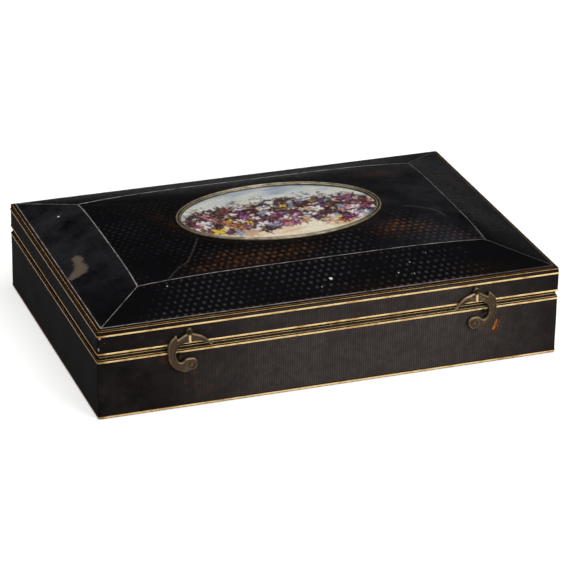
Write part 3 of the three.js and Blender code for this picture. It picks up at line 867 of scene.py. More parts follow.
def inner_side(section: Array, thickness: float, inwards: float) -> Array:
    """Line at one distance from an open section.

    Args:
        section: Rows of inset and height.
        thickness: The distance.
        inwards: 1 or -1 for the side that the line lies on.

    Returns:
        Rows of inset and height, one for each point.
    """
    runs = np.diff(section, axis=0)
    runs /= np.linalg.norm(runs, axis=1)[:, None]
    normals = np.stack([-runs[:, 1], runs[:, 0]], 1) * inwards
    before, after = np.vstack([normals[:1], normals]), np.vstack([normals, normals[-1:]])
    mitre = before + after
    mitre /= np.maximum(np.einsum("ij,ij->i", mitre, before), 0.3)[:, None]
    return section + mitre * thickness


def along_path(points: Array, closed: bool = False) -> Array:
    """Distance of each point from the first along a line, and back to it if it is closed."""
    path = np.vstack([points, points[:1]]) if closed else points
    return np.concatenate([[0.0], np.cumsum(np.linalg.norm(np.diff(path, axis=0), axis=1))])


def ripple(x: Array, y: Array, width: float, seed: int) -> Array:
    """Smooth unevenness made of crossing waves.

    Args:
        x: First coordinate in millimetres.
        y: Second coordinate in millimetres.
        width: Usual width of a wave in millimetres.
        seed: Number that fixes the waves.

    Returns:
        Heights, mostly between -1 and 1.
    """
    chance = np.random.default_rng(seed)
    waves = 9
    total = np.zeros(np.broadcast(x, y).shape)
    for _ in range(waves):
        angle, phase = chance.uniform(0, TURN, 2)
        length = width * chance.uniform(0.7, 1.5)
        total += np.cos(TURN * (x * np.cos(angle) + y * np.sin(angle)) / length + phase)
    return total / math.sqrt(waves)


def spots(x: Array, y: Array, places: Patches) -> Array:
    """Soft oval patches.

    Args:
        x: First coordinate in millimetres.
        y: Second coordinate in millimetres.
        places: Middle, two half sizes and strength of each patch.

    Returns:
        Strength at each point.
    """
    total = np.zeros(np.broadcast(x, y).shape)
    for px, py, rx, ry, strength in places:
        total += strength * np.exp(-((x - px) / rx) ** 2 - ((y - py) / ry) ** 2)
    return total


def near_line(x: Array, y: Array, line: Sequence[tuple[float, float]]) -> Array:
    """Distance of each point from a line of straight pieces.

    Args:
        x: First coordinate.
        y: Second coordinate.
        line: Ends and bends of the line.

    Returns:
        The distances.
    """
    best = np.full(np.broadcast(x, y).shape, np.inf)
    for (ax, ay), (bx, by) in zip(line[:-1], line[1:]):
        dx, dy = bx - ax, by - ay
        share = np.clip(((x - ax) * dx + (y - ay) * dy) / (dx * dx + dy * dy), 0, 1)
        best = np.minimum(best, np.hypot(x - ax - share * dx, y - ay - share * dy))
    return best


# Surfaces of the casket


@dataclass(frozen=True)
class Form:
    """Rules for the casket's surfaces, in millimetres."""

    sizes: Sizes
    corner_radius: float = 1.5
    inner_radius: float = 0.05
    corner_steps: int = 6
    run_step: float = 3.0
    dome_fullness: float = 0.35
    crown_power: int = 4
    sag: float = 0.12  # how far the leather dips between its glued places
    sag_width: float = 34.0

    def place(self, side: Side, along: Array, inset: Array, z: Array) -> Points:
        """Puts points on one side of the casket.

        Args:
            side: The side.
            along: Place along it from its middle.
            inset: Distance in from the outer face.
            z: Height.

        Returns:
            The points.
        """
        x, y = self.sizes.half_length - inset, self.sizes.half_width - inset
        columns = {
            Side.FRONT: (along, -y, z), Side.BACK: (-along, y, z),
            Side.LEFT: (-x, -along, z), Side.RIGHT: (x, along, z),
        }[side]
        return np.stack(np.broadcast_arrays(*columns), -1)

    def loop(self, inset: float, z: float, step: Optional[float] = None) -> Points:
        """Path round the casket, with rounded corners.

        Args:
            inset: Distance in from the outer face.
            z: Height.
            step: Length of a piece of the path, or none for the usual one.

        Returns:
            The points, starting at the back right corner.
        """
        radius = max(self.corner_radius - inset, self.inner_radius)
        x, y = self.sizes.half_length - inset - radius, self.sizes.half_width - inset - radius
        arcs = []
        for quarter, (sx, sy) in enumerate(((1, 1), (-1, 1), (-1, -1), (1, -1))):
            turn = (quarter + np.linspace(0, 1, self.corner_steps + 1)) * math.pi / 2
            arcs.append(np.stack([sx * x + radius * np.cos(turn),
                                  sy * y + radius * np.sin(turn)], 1))
        found = []
        for quarter, arc in enumerate(arcs):
            side = self.sizes.half_length if quarter % 2 == 0 else self.sizes.half_width
            pieces = math.ceil(2 * side / (step or self.run_step))
            shares = np.arange(1, pieces)[:, None] / pieces
            found += [arc, arc[-1] + (arcs[(quarter + 1) % 4][0] - arc[-1]) * shares]
        flat = np.vstack(found)
        return np.column_stack([flat, np.full(len(flat), z)])

    def crown(self, t: Array) -> Array:
        """Rise of a panel edge above its corners, with t from -1 to 1 along it."""
        return self.sizes.edge_crown * (1 - np.abs(t) ** self.crown_power)

    def moulding(self, count: int) -> Array:
        """Rounded edge of the lid, as rows of inset and height from the rim to the hip."""
        angle, size = np.linspace(0, math.pi / 2, count), self.sizes
        return np.stack([size.moulding_run * (1 - np.cos(angle)),
                         size.lid_face + (size.hip_foot - size.lid_face) * np.sin(angle)], 1)

    def hip_height(self, inset: Array, t: Array) -> Array:
        """Height of the lid's sloping side, with t from -1 to 1 between its hips.

        Args:
            inset: Distance in from the outer face.
            t: Place along the side.

        Returns:
            The heights.
        """
        size = self.sizes
        rise = size.panel_corner + self.crown(t) - size.hip_foot
        run = size.panel_inset - size.moulding_run
        return size.hip_foot + rise * (inset - size.moulding_run) / run

    def slope(self, side: Side, t: Array, inset: Array) -> Points:
        """Points on a sloping side, with t from -1 to 1 between its hips."""
        along = t * (self.sizes.half(side) - inset - self.sizes.seam)
        return self.place(side, along, inset, self.hip_height(inset, t))

    def border(self, count: int, inset: float) -> tuple[Points, Array]:
        """Edge of the top panel.

        Args:
            count: Points along each side.
            inset: Distance in from the outer face.

        Returns:
            The points, from the front left corner on, and the angle of each round the plaque.
        """
        shares = np.linspace(-1, 1, count, endpoint=False)
        height = self.sizes.panel_corner + self.crown(shares)
        points = [self.place(side, shares * (self.sizes.half(side) - inset), inset, height)
                  for side in (Side.FRONT, Side.RIGHT, Side.BACK, Side.LEFT)]
        angles = [(quarter - 1 + shares / 2) * math.pi / 2 for quarter in range(4)]
        return np.vstack(points), np.concatenate(angles)

    def oval(self, angles: Array, inset: float, z: float) -> Points:
        """Points on an oval round the plaque, in from its bezel's edge."""
        size = self.sizes
        return np.stack([(size.bezel_long - inset) * np.cos(angles),
                         (size.bezel_short - inset) * np.sin(angles),
                         np.full(len(angles), z)], 1)

    def dome(self, across: Array, count: int, inset: float) -> Points:
        """Points on the top panel.

        Args:
            across: Shares from the plaque's bed, 0, to the panel's border, 1.
            count: Points along each side of the panel.
            inset: Inset of the border.

        Returns:
            Points as across by round by 3.
        """
        edge, angles = self.border(count, inset)
        oval = self.oval(angles, self.sizes.bed_inset, self.sizes.seat)
        share = across[:, None, None]
        points = edge * share + oval * (1 - share)
        rise = (1 - across) * (1 + self.dome_fullness * across)
        points[..., 2] = edge[:, 2] + (self.sizes.seat - edge[:, 2]) * rise[:, None]
        return points


# Wear, painted light and sheen, and grain, by place on the casket in millimetres

FRONT_WEAR = (  # x and z of the middle, two half sizes, strength
    (101.0, 12.0, 3.0, 6.0, 0.3), (-100.6, 33.0, 5.0, 3.0, 0.5), (-93.0, 27.0, 9.0, 6.0, 0.38),
    (-86.0, 17.0, 7.0, 5.0, 0.32), (-78.0, 9.0, 9.0, 5.0, 0.25), (-118.0, 22.0, 6.0, 9.0, 0.2),
)
FRONT_LIGHT = (  # x, and how light the front is painted there, as painted light and shade darker at both ends
    (-140, -100, -60, -20, 60, 90, 115, 140), (0.22, 0.27, 0.7, 0.95, 1.0, 0.9, 0.55, 0.35),
)
FRONT_GRAIN = (  # place along the front slope, and how strong the grain is there
    (-122, -92, 72, 108), (0.1, 1.0, 1.0, 0.1),
)
TOP_GRAIN = ((-90, 10), (0.6, 0.95))  # x on the top panel, and how strong the grain is there
TOP_SHEEN = ((-100, 30, 100), (0.05, 0.1, 0.6))  # x on the top panel, and its share of painted sheen
SLOPE_LIGHT = ((-80, -20, 60), (0.12, 0.55, 0.8))  # y on a slope, and its share of the painted sheen
GOUGES = (  # x and z of both ends, width, strength
    (((101.4, 27.0), (99.4, 21.6)), 1.25, 1.1), (((104.1, 28.5), (100.2, 17.2)), 0.8, 0.75),
)
CORNER_SPECKS = (  # x and z on the front of the lid's rim
    (-138.6, 51.0, 0.9, 1.2, 1.0), (-136.2, 47.5, 0.7, 0.9, 0.9), (-139.2, 44.0, 0.7, 1.4, 0.9),
)
TOP_WEAR = (  # x and y of the middle, two half sizes, strength
    (-48.0, -47.0, 12.0, 5.0, 0.5), (-44.0, -56.0, 12.0, 4.0, 0.5),
    (-24.0, -53.0, 14.0, 6.0, 0.5), (-4.0, -51.0, 10.0, 5.0, 0.35),
    (-64.0, -56.0, 10.0, 3.0, 0.45), (-76.0, -50.0, 3.0, 2.0, 0.4),
    (60.0, -36.0, 7.0, 5.0, 0.75), (52.0, -43.0, 9.0, 6.0, 0.5),
    (74.0, -42.0, 8.0, 7.0, 0.35), (92.0, -54.0, 8.0, 4.0, 0.25),
    (64.0, 41.0, 12.0, 4.0, 0.5), (84.0, 45.0, 14.0, 5.0, 0.5),
    (-31.0, 44.0, 12.0, 3.0, 0.35), (-70.0, 16.0, 6.0, 9.0, 0.22),
    (-66.0, -2.0, 4.0, 7.0, 0.2),
)
SLOPE_WEAR = {
    Side.FRONT: ((96.0, -86.0, 16.0, 5.0, 0.1), (20.0, -88.0, 24.0, 3.0, 0.1)),
    Side.RIGHT: ((128.0, 30.0, 4.0, 16.0, 0.2),),
    Side.BACK: ((30.0, 84.0, 20.0, 5.0, 0.2),),
}
SLOPE_DUST = {  # the brown scuff and the white specks
    Side.LEFT: ((-125.9, -5.4, 3.2, 5.0, 0.95), (-127.2, -13.5, 4.2, 6.5, 0.7),
                (-126.8, -21.0, 3.8, 5.2, 0.75), (-131.8, -22.6, 3.4, 4.6, 0.85),
                (-135.4, -25.0, 2.4, 3.0, 0.6), (-120.7, 53.7, 0.6, 0.9, -2.2)),
    Side.FRONT: ((3.8, -78.6, 0.8, 0.8, -3.0), (-3.6, -83.9, 0.5, 0.5, -1.2),
                 (54.0, -74.0, 0.5, 0.9, -1.0), (44.4, -81.2, 0.5, 0.7, -1.2),
                 (66.2, -68.2, 0.4, 1.0, -0.9), (53.4, -83.4, 0.6, 1.4, -0.8),
                 (-90.3, -66.2, 0.5, 0.5, -1.4)),
}
# How much painted sheen each slope takes
SLOPE_SHEEN = {Side.LEFT: 1.05, Side.FRONT: 0.15, Side.RIGHT: 0.45, Side.BACK: 0.15}
CREASES = (  # lines across the top panel, x and y
    ((-58.0, -22.0), (-66.7, -38.6), (-72.2, -47.1), (-77.8, -50.7), (-82.9, -55.2), (-88.0, -61.0)),
    ((73.4, -13.2), (78.2, -13.2), (84.9, -16.7), (88.8, -19.0), (92.1, -22.7), (94.4, -29.0)),
)


def near_zero(distance: Array, reach: float) -> Array:
    """1 at no distance, and falling evenly to 0 at the reach."""
    return np.clip(1 - distance / reach, 0, 1)


@dataclass(frozen=True)
class PressedGrain:
    """Small round grains in offset rows, pressed into the leather of the lid."""

    pitch: float = 4.5
    height: float = 0.16
    patch: float = 46.0
    uneven: float = 0.35  # how far a grain lies off its place, in millimetres

    def at(self, x: Array, y: Array, strength: object, seed: int) -> Array:
        """How far the grains stand up.

        Args:
            x: Place along the rows in millimetres.
            y: Place across them.
            strength: Strength of the grain, one number or one for each point.
            seed: Number that fixes where the grain is pressed flat.

        Returns:
            Values from 0 to 1.
        """
        wave = TURN / self.pitch
        u = wave * (x + self.uneven * ripple(x, y, 15, seed + 20))
        v = wave * (y + self.uneven * ripple(x, y, 15, seed + 21)) / math.sqrt(3)
        dots = np.cos(u - v) + np.cos(2 * v) + np.cos(u + v)
        even = np.clip((dots + 0.9) / 3.9, 0, 1) ** 1.7
        pressed = 0.66 + 0.3 * ripple(x, y, self.patch, seed) + 0.2 * ripple(x, y, 8, seed + 22)
        return even * np.clip(pressed, 0.2, 1) * strength


# Leathers


@dataclass(frozen=True)
class Leathers:
    """The leathers of the base and of the lid."""

    form: Form
    thickness: float = 1.2
    wall_step: float = 0.9
    fine_step: float = 0.56
    corner_rub: float = 2.5  # how far from a corner the black is rubbed off
    edge_rub: float = 2.0
    edge_rest: float = 1.5  # how far from an edge the relief begins
    crease_width: float = 0.5
    crease_height: float = 0.25
    faint_grain: float = 0.4  # strength of the grain on the sides and the back
    back_polish: float = 0.06
    worn_from: float = 25.0  # where handling begins to flatten the top's grain, along Y
    worn_run: float = 28.0
    grain: PressedGrain = PressedGrain()

    def ring(
        self, name: str, outline: Sequence[tuple[float, float, float]], material: Material,
        wear: bool,
    ) -> Piece:
        """Leather all the way round the casket, folded round an edge.

        Args:
            name: Name of the piece.
            outline: Inset, height and corner radius of each point of its outer side.
            material: Its finish.
            wear: Whether the front has the worn places of the base.

        Returns:
            The piece.
        """
        size = self.form.sizes
        plain = np.array([(x, z) for x, z, _ in outline])
        inwards = 1.0 if plain[1, 1] > plain[-2, 1] else -1.0
        section = np.vstack([subdivided(rounded(outline), self.wall_step),
                             inner_side(plain, self.thickness, inwards)[::-1]])
        grid = np.stack([self.form.loop(inset, z, self.wall_step) for inset, z in section], 1)
        around, down = along_path(grid[:, 0], True), along_path(section, True)
        on_wall = (section[:, 0] < 0.1) & (section[:, 1] > size.base_foot + 2)
        sag = self.form.sag * (
            ripple(around[:-1, None], section[None, :, 1], self.form.sag_width, 5) - 1)
        middle = np.array([size.half_length, size.half_width, 0.0])
        outward = np.where(np.abs(grid) > middle - 0.6, np.sign(grid), 0.0)
        outward[..., 2] = 0
        grid = grid + outward * np.where(on_wall[None, :], sag, 0.0)[..., None]
        points, quads, corners = skin(grid, True, True)
        x, y, z = points.T
        front = np.where(y < -size.half_width + 1, 1.0, 0.0)
        edges = near_zero(np.abs(np.abs(x) - size.half_length), self.corner_rub) * near_zero(
            np.abs(np.abs(y) - size.half_width), self.corner_rub)
        worn = spots(x, z, FRONT_WEAR) + sum(
            strength * np.exp(-(near_line(x, z, line) / width) ** 2)
            for line, width, strength in GOUGES)
        # Painted light and shade: the front lighter in its middle and darker at both ends, the left
        # wall darkest, the other walls between, and the lid's rim a little darker
        faded = np.interp(x, *FRONT_LIGHT)
        tone = np.where(front > 0, faded, np.where(x < 1 - size.half_length, -0.15, 0.45))
        shown = np.arange(len(section)) < len(section) // 2
        upright = np.where(on_wall, 1.0, np.where(shown, 0.75, 0.0))
        values = {
            RUB: 0.35 * edges + (worn * front if wear else 0),
            LIGHT_AND_TONE: tone * (1.0 if wear else 0.8),
            GRAIN: np.tile(upright, len(grid)),
            DUST: 0 * edges if wear else spots(x, z, CORNER_SPECKS) * front,
        }
        return make_piece(name, points, quads, material,
                          surface=unrolled(corners, around, down), values=values)

    def base(self, material: Material) -> Piece:
        """Leather of the base: its walls, folded in under the foot and over the meeting edge."""
        size = self.form.sizes
        return self.ring("base_skin", (
            (size.wrap, size.base_land, 0), (size.groove, size.base_land, 0.5),
            (0, size.base_face, 0.4), (0, size.base_foot, 0.7), (size.wrap, size.base_foot, 0),
        ), material, wear=True)

    def rim(self, material: Material) -> Piece:
        """Leather of the lid's rim, from its meeting edge up over the moulding."""
        size = self.form.sizes
        return self.ring("lid_rim_skin", (
            (size.wrap, size.lid_land, 0), (size.groove, size.lid_land, 0.5),
            (0, size.lid_foot, 0.4), *((*point, 0) for point in self.form.moulding(9)),
        ), material, wear=False)

    def slope(self, side: Side, material: Material) -> Piece:
        """Leather of one sloping side of the lid.

        Args:
            side: The side.
            material: Its finish.

        Returns:
            The piece.
        """
        size = self.form.sizes
        half = size.half(side)
        low, high = size.moulding_run + size.seam, size.panel_inset - size.seam
        rows = math.ceil(2 * (half - low) / self.fine_step)
        columns = math.ceil((high - low) / self.fine_step)
        t, inset = np.meshgrid(
            np.linspace(-1, 1, rows + 1), np.linspace(low, high, columns + 1), indexing="ij")
        grid = self.form.slope(side, t, inset)
        along = t * (half - inset)
        strength = np.interp(along, *FRONT_GRAIN) if side is Side.FRONT else self.faint_grain
        seed = 11 + list(Side).index(side)
        grain = self.grain.at(along, inset, strength, seed)
        shore = np.minimum(np.minimum(inset - low, high - inset), (1 - np.abs(t)) * half)
        grid[..., 2] += np.clip(shore / self.edge_rest, 0, 1) * (
            self.grain.height * grain
            + self.form.sag * ripple(along, inset, self.form.sag_width, seed))
        x, y = grid[..., 0], grid[..., 1]
        # Painted sheen, stronger towards the back of each slope
        sheen_haze = np.interp(y, *SLOPE_LIGHT) * SLOPE_SHEEN[side]
        rub = spots(x, y, SLOPE_WEAR.get(side, ())) + 0.3 * near_zero(shore, self.edge_rub) ** 2
        values = {
            GRAIN: grain, LIGHT_AND_TONE: sheen_haze, RUB: rub,
            DUST: spots(x, y, SLOPE_DUST.get(side, ())),
            POLISH: np.full(t.shape, self.back_polish if side is Side.BACK else 1.0),
        }
        return self.closed_sheet(f"lid_skin_{side.value}", grid, values, material, False)

    def top(self, material: Material) -> Piece:
        """Domed leather of the top panel, with a bed for the plaque.

        Args:
            material: Its finish.

        Returns:
            The piece.
        """
        size = self.form.sizes
        inset = size.panel_inset + size.seam
        count = math.ceil(2 * (size.half_length - inset) / self.fine_step / 1.25)
        widest = size.half_length - inset - size.bezel_long
        across = np.linspace(0, 1, math.ceil(widest / self.fine_step / 1.1) + 1)
        grid = self.form.dome(across, count, inset).transpose(1, 0, 2)
        x, y = grid[..., 0], grid[..., 1]
        shore = np.minimum(size.half_length - inset - np.abs(x), size.half_width - inset - np.abs(y))
        oval = np.hypot(x / size.bezel_long, y / size.bezel_short)
        grain = self.grain.at(x, y, np.interp(x, *TOP_GRAIN), 3)
        grain = grain * np.clip((self.worn_from - y - 0.45 * x) / self.worn_run, 0.15, 1)
        grain = grain * np.clip((oval - 1.04) / 0.05, 0, 1)
        crease = sum(np.exp(-(near_line(x, y, line) / self.crease_width) ** 2) for line in CREASES)
        soft = np.clip(shore / self.edge_rest, 0, 1) * np.clip((oval - 1.0) / 0.03, 0, 1)
        grid[..., 2] += soft * (
            self.grain.height * grain + self.form.sag * ripple(x, y, self.form.sag_width, 4)
            + self.crease_height * crease)
        rub = spots(x, y, TOP_WEAR) + 0.25 * near_zero(shore, self.edge_rub) ** 2 + 0.3 * crease
        rub += 0.3 * np.exp(-((oval - 1.03) / 0.03) ** 2)
        # Painted sheen, rising towards the right and along the creases
        values = {GRAIN: grain, LIGHT_AND_TONE: np.interp(x, *TOP_SHEEN) + 1.6 * crease, RUB: rub,
                  DUST: 0 * rub, POLISH: 1 + 0 * rub}
        return self.closed_sheet("lid_skin_top", grid, values, material, True)

    def closed_sheet(
        self, name: str, grid: Points, values: dict[str, Array], material: Material, wrap: bool,
    ) -> Piece:
        """Closes a leather under its outer side.

        Args:
            name: Name of the piece.
            grid: Its outer side.
            values: Numbers at each point of it, by attribute name.
            material: Its finish.
            wrap: Whether the last row joins the first.

        Returns:
            The piece.
        """
        under = grid[:, [-1, 0]] - (0, 0, self.thickness)
        whole = np.concatenate([grid, under], 1)
        points, quads, _ = skin(whole, wrap, True)
        blank = np.zeros(under.shape[:2])
        values = {key: np.concatenate([numbers, blank], 1).ravel()
                  for key, numbers in values.items()}
        return make_piece(name, points, quads, material, values=values,
                          caps=() if wrap else end_caps(whole))


# Tooled lines


class LineTree:
    """Geometry Nodes that lay a thin strip along every path of a mesh."""

    def __init__(self) -> None:
        """Builds the tree."""
        self.tree = tree = bpy.data.node_groups.new("tooled_line", "GeometryNodeTree")
        self.keys = {}
        for label, kind in (("Geometry", "Geometry"), ("Width", "Float"), ("Thickness", "Float"),
                            ("Tilt", "Float"), ("Finish", "Material")):
            socket = tree.interface.new_socket(
                name=label, in_out="INPUT", socket_type=f"NodeSocket{kind}")
            self.keys[label] = socket.identifier
        tree.interface.new_socket(
            name="Geometry", in_out="OUTPUT", socket_type="NodeSocketGeometry")
        given = add_node(tree, "NodeGroupInput").outputs
        scale = add_node(
            tree, "ShaderNodeCombineXYZ", {"X": given["Thickness"], "Y": given["Width"], "Z": 1.0})
        circle = add_node(
            tree, "GeometryNodeCurvePrimitiveCircle", {"Resolution": 8, "Radius": 0.5})
        section = add_node(tree, "GeometryNodeTransform",
                           {"Geometry": circle.outputs[0], "Scale": scale.outputs[0]})
        made = given["Geometry"]
        for kind, key, inputs, settings in (
            ("MeshToCurve", "Mesh", {}, {}),
            ("SetCurveNormal", "Curve", {}, {"mode": "Z_UP"}),
            ("SetCurveTilt", "Curve", {"Tilt": given["Tilt"]}, {}),
            ("CurveToMesh", "Curve", {"Profile Curve": section.outputs[0], "Fill Caps": True}, {}),
            ("RealizeInstances", "Geometry", {}, {}),
            ("SetMaterial", "Geometry", {"Material": given["Finish"]}, {}),
        ):
            made = add_node(
                tree, f"GeometryNode{kind}", {key: made, **inputs}, **settings).outputs[0]
        add_node(tree, "NodeGroupOutput", {"Geometry": made})

    def lay(
        self, name: str, paths: Sequence[Points], closed: bool, width: float, thickness: float,
        tilt: float, finish: Material,
    ) -> Piece:
        """Lays strips along paths.

        Args:
            name: Name of the piece.
            paths: Points of each path in millimetres.
            closed: Whether the end of each path joins its start.
            width: Width of the strip across the upright, in millimetres.
            thickness: Thickness of the strip in millimetres.
            tilt: Turn of the strip about its path in degrees.
            finish: Its material.

        Returns:
            The piece, as a plain mesh without the modifier.
        """
        points, edges = [], []
        for path in paths:
            start, count = len(points), len(path)
            points += (path * MM).tolist()
            edges += [(start + k, start + (k + 1) % count)
                      for k in range(count if closed else count - 1)]
        mesh = bpy.data.meshes.new(name)
        mesh.from_pydata(points, edges, [])
        piece = linked(name, mesh)
        modifier = piece.modifiers.new(self.tree.name, "NODES")
        modifier.node_group = self.tree
        for key, value in (("Width", width * MM), ("Thickness", thickness * MM),
                           ("Tilt", math.radians(tilt)), ("Finish", finish)):
            modifier[self.keys[key]] = value
        bake_modifiers(piece)
        shade_smooth(piece.data)
        return piece


@dataclass(frozen=True)
class Tooling:
    """Gold and blind lines tooled round the casket."""

    form: Form
    proud: float = 0.05
    strip: float = 0.16
    leaf: float = 0.06  # the moulding lines, which lie flat on the curve
    fillet: float = 1.05

    def wall(self, z: float) -> Points:
        """Path round the upright walls."""
        return self.form.loop(-self.proud, z)

    def on_bevel(
        self, low: Sequence[float], high: Sequence[float], share: float, proud: float,
    ) -> Points:
        """Path on a bevel that faces up and out.

        Args:
            low: Inset and height of its lower edge.
            high: Inset and height of its upper edge.
            share: Place between them, from 0 to 1.
            proud: Distance out from the bevel.

        Returns:
            The path.
        """
        run = np.array(high) - np.array(low)
        out = np.array([-run[1], run[0]]) / np.linalg.norm(run)
        return self.form.loop(*(np.array(low) + run * share + out * proud))

    def front_part(self, path: Points) -> Points:
        """Part of a path round the casket that leaves out the back, where the hinges are."""
        return path[path[:, 1] < path[:, 1].max() - self.form.corner_radius]

    def near_part(self, path: Points) -> Points:
        """Part of a path round the casket along its left side and its front."""
        seen = path[:, :2] < path[:, :2].max(0) - self.form.corner_radius
        return path[seen.all(1)]

    def hips(self) -> list[Points]:
        """Paths down the four hips of the lid.

        Returns:
            The paths.
        """
        size = self.form.sizes
        inset = np.linspace(size.moulding_run + 0.3, size.panel_inset, 24)
        height = self.form.hip_height(inset, np.ones(len(inset))) + self.proud
        return [np.stack([sx * (size.half_length - inset), sy * (size.half_width - inset),
                          height], 1) for sx in (-1, 1) for sy in (-1, 1)]

    def build(self) -> list[tuple[Piece, str]]:
        """Makes the lines.

        Returns:
            Each piece with its body.
        """
        size, tree, strip, leaf = self.form.sizes, LineTree(), self.strip, self.leaf
        gold, worn, shoulder, blind = (
            kind.material() for kind in (GOLD_LEAF, WORN_LEAF, SHOULDER_LEAF, BLIND_LINE))
        foot, head = (0, size.base_face), (size.groove, size.base_land)
        bevel = math.degrees(math.atan2(size.groove, size.base_land - size.base_face))
        curve = self.form.moulding(16)
        panel = self.form.border(90, size.panel_inset)[0] + (0, 0, self.proud)
        rows = (  # body, name, paths, whether they are closed, width, thickness, tilt, finish
            ("base", "gold_fillets", (self.wall(size.base_foot + 1.05),
                                      self.wall(size.base_face - 0.4)),
             True, self.fillet, strip, 0, gold),
            ("lid", "gold_fillets", (self.wall(size.lid_foot + 0.45),
                                     self.wall(size.lid_face - 1.2)),
             True, self.fillet, strip, 0, gold),
            ("base", "groove_low_line",
             (self.front_part(self.on_bevel(foot, head, 0.3, self.proud)),),
             False, 0.5, strip, bevel, worn),
            ("base", "groove_high_line",
             (self.front_part(self.on_bevel(foot, head, 0.85, self.proud)),),
             False, 0.75, strip, bevel, worn),
            ("lid", "moulding_low_line", (self.on_bevel(curve[5], curve[6], 0.0, leaf),),
             True, 0.75, leaf, 31, worn),
            ("lid", "moulding_high_line",
             (self.near_part(self.on_bevel(curve[8], curve[9], 0.3, leaf)),),
             False, 1.0, leaf, 50, shoulder),
            ("lid", "hip_foot_line",
             (self.form.loop(size.moulding_run - 0.15, size.hip_foot + self.proud),),
             True, 0.7, strip * 1.5, 90, blind),
            ("lid", "panel_lines", (panel,), True, strip, 0.75, 0, blind),
            ("lid", "hip_lines", self.hips(), False, strip, 0.45, 0, blind),
        )
        return [(tree.lay(f"{body}_{name}", *rest), body) for body, name, *rest in rows]


# Plaque


@dataclass(frozen=True)
class Stroke:
    """One touch of the brush: an oval of colour with soft edges."""

    x: float
    y: float
    long: float
    short: float
    turn: float
    colour: str
    cover: float
    soft: float

    def laid_on(self, paint: Array, x: Array, y: Array) -> None:
        """Adds the stroke to a painting.

        Args:
            paint: Linear colours at each point, which change.
            x: Place along the plaque in millimetres.
            y: Place across it.
        """
        reach = max(self.long, self.short)
        near = (np.abs(x - self.x) < reach) & (np.abs(y - self.y) < reach)
        dx, dy = x[near] - self.x, y[near] - self.y
        cos, sin = math.cos(self.turn), math.sin(self.turn)
        away = np.hypot((dx * cos + dy * sin) / self.long, (dy * cos - dx * sin) / self.short)
        cover = self.cover * np.clip((1 - away) / self.soft, 0, 1)[:, None]
        paint[near] = paint[near] * (1 - cover) + np.array(linear(self.colour)) * cover


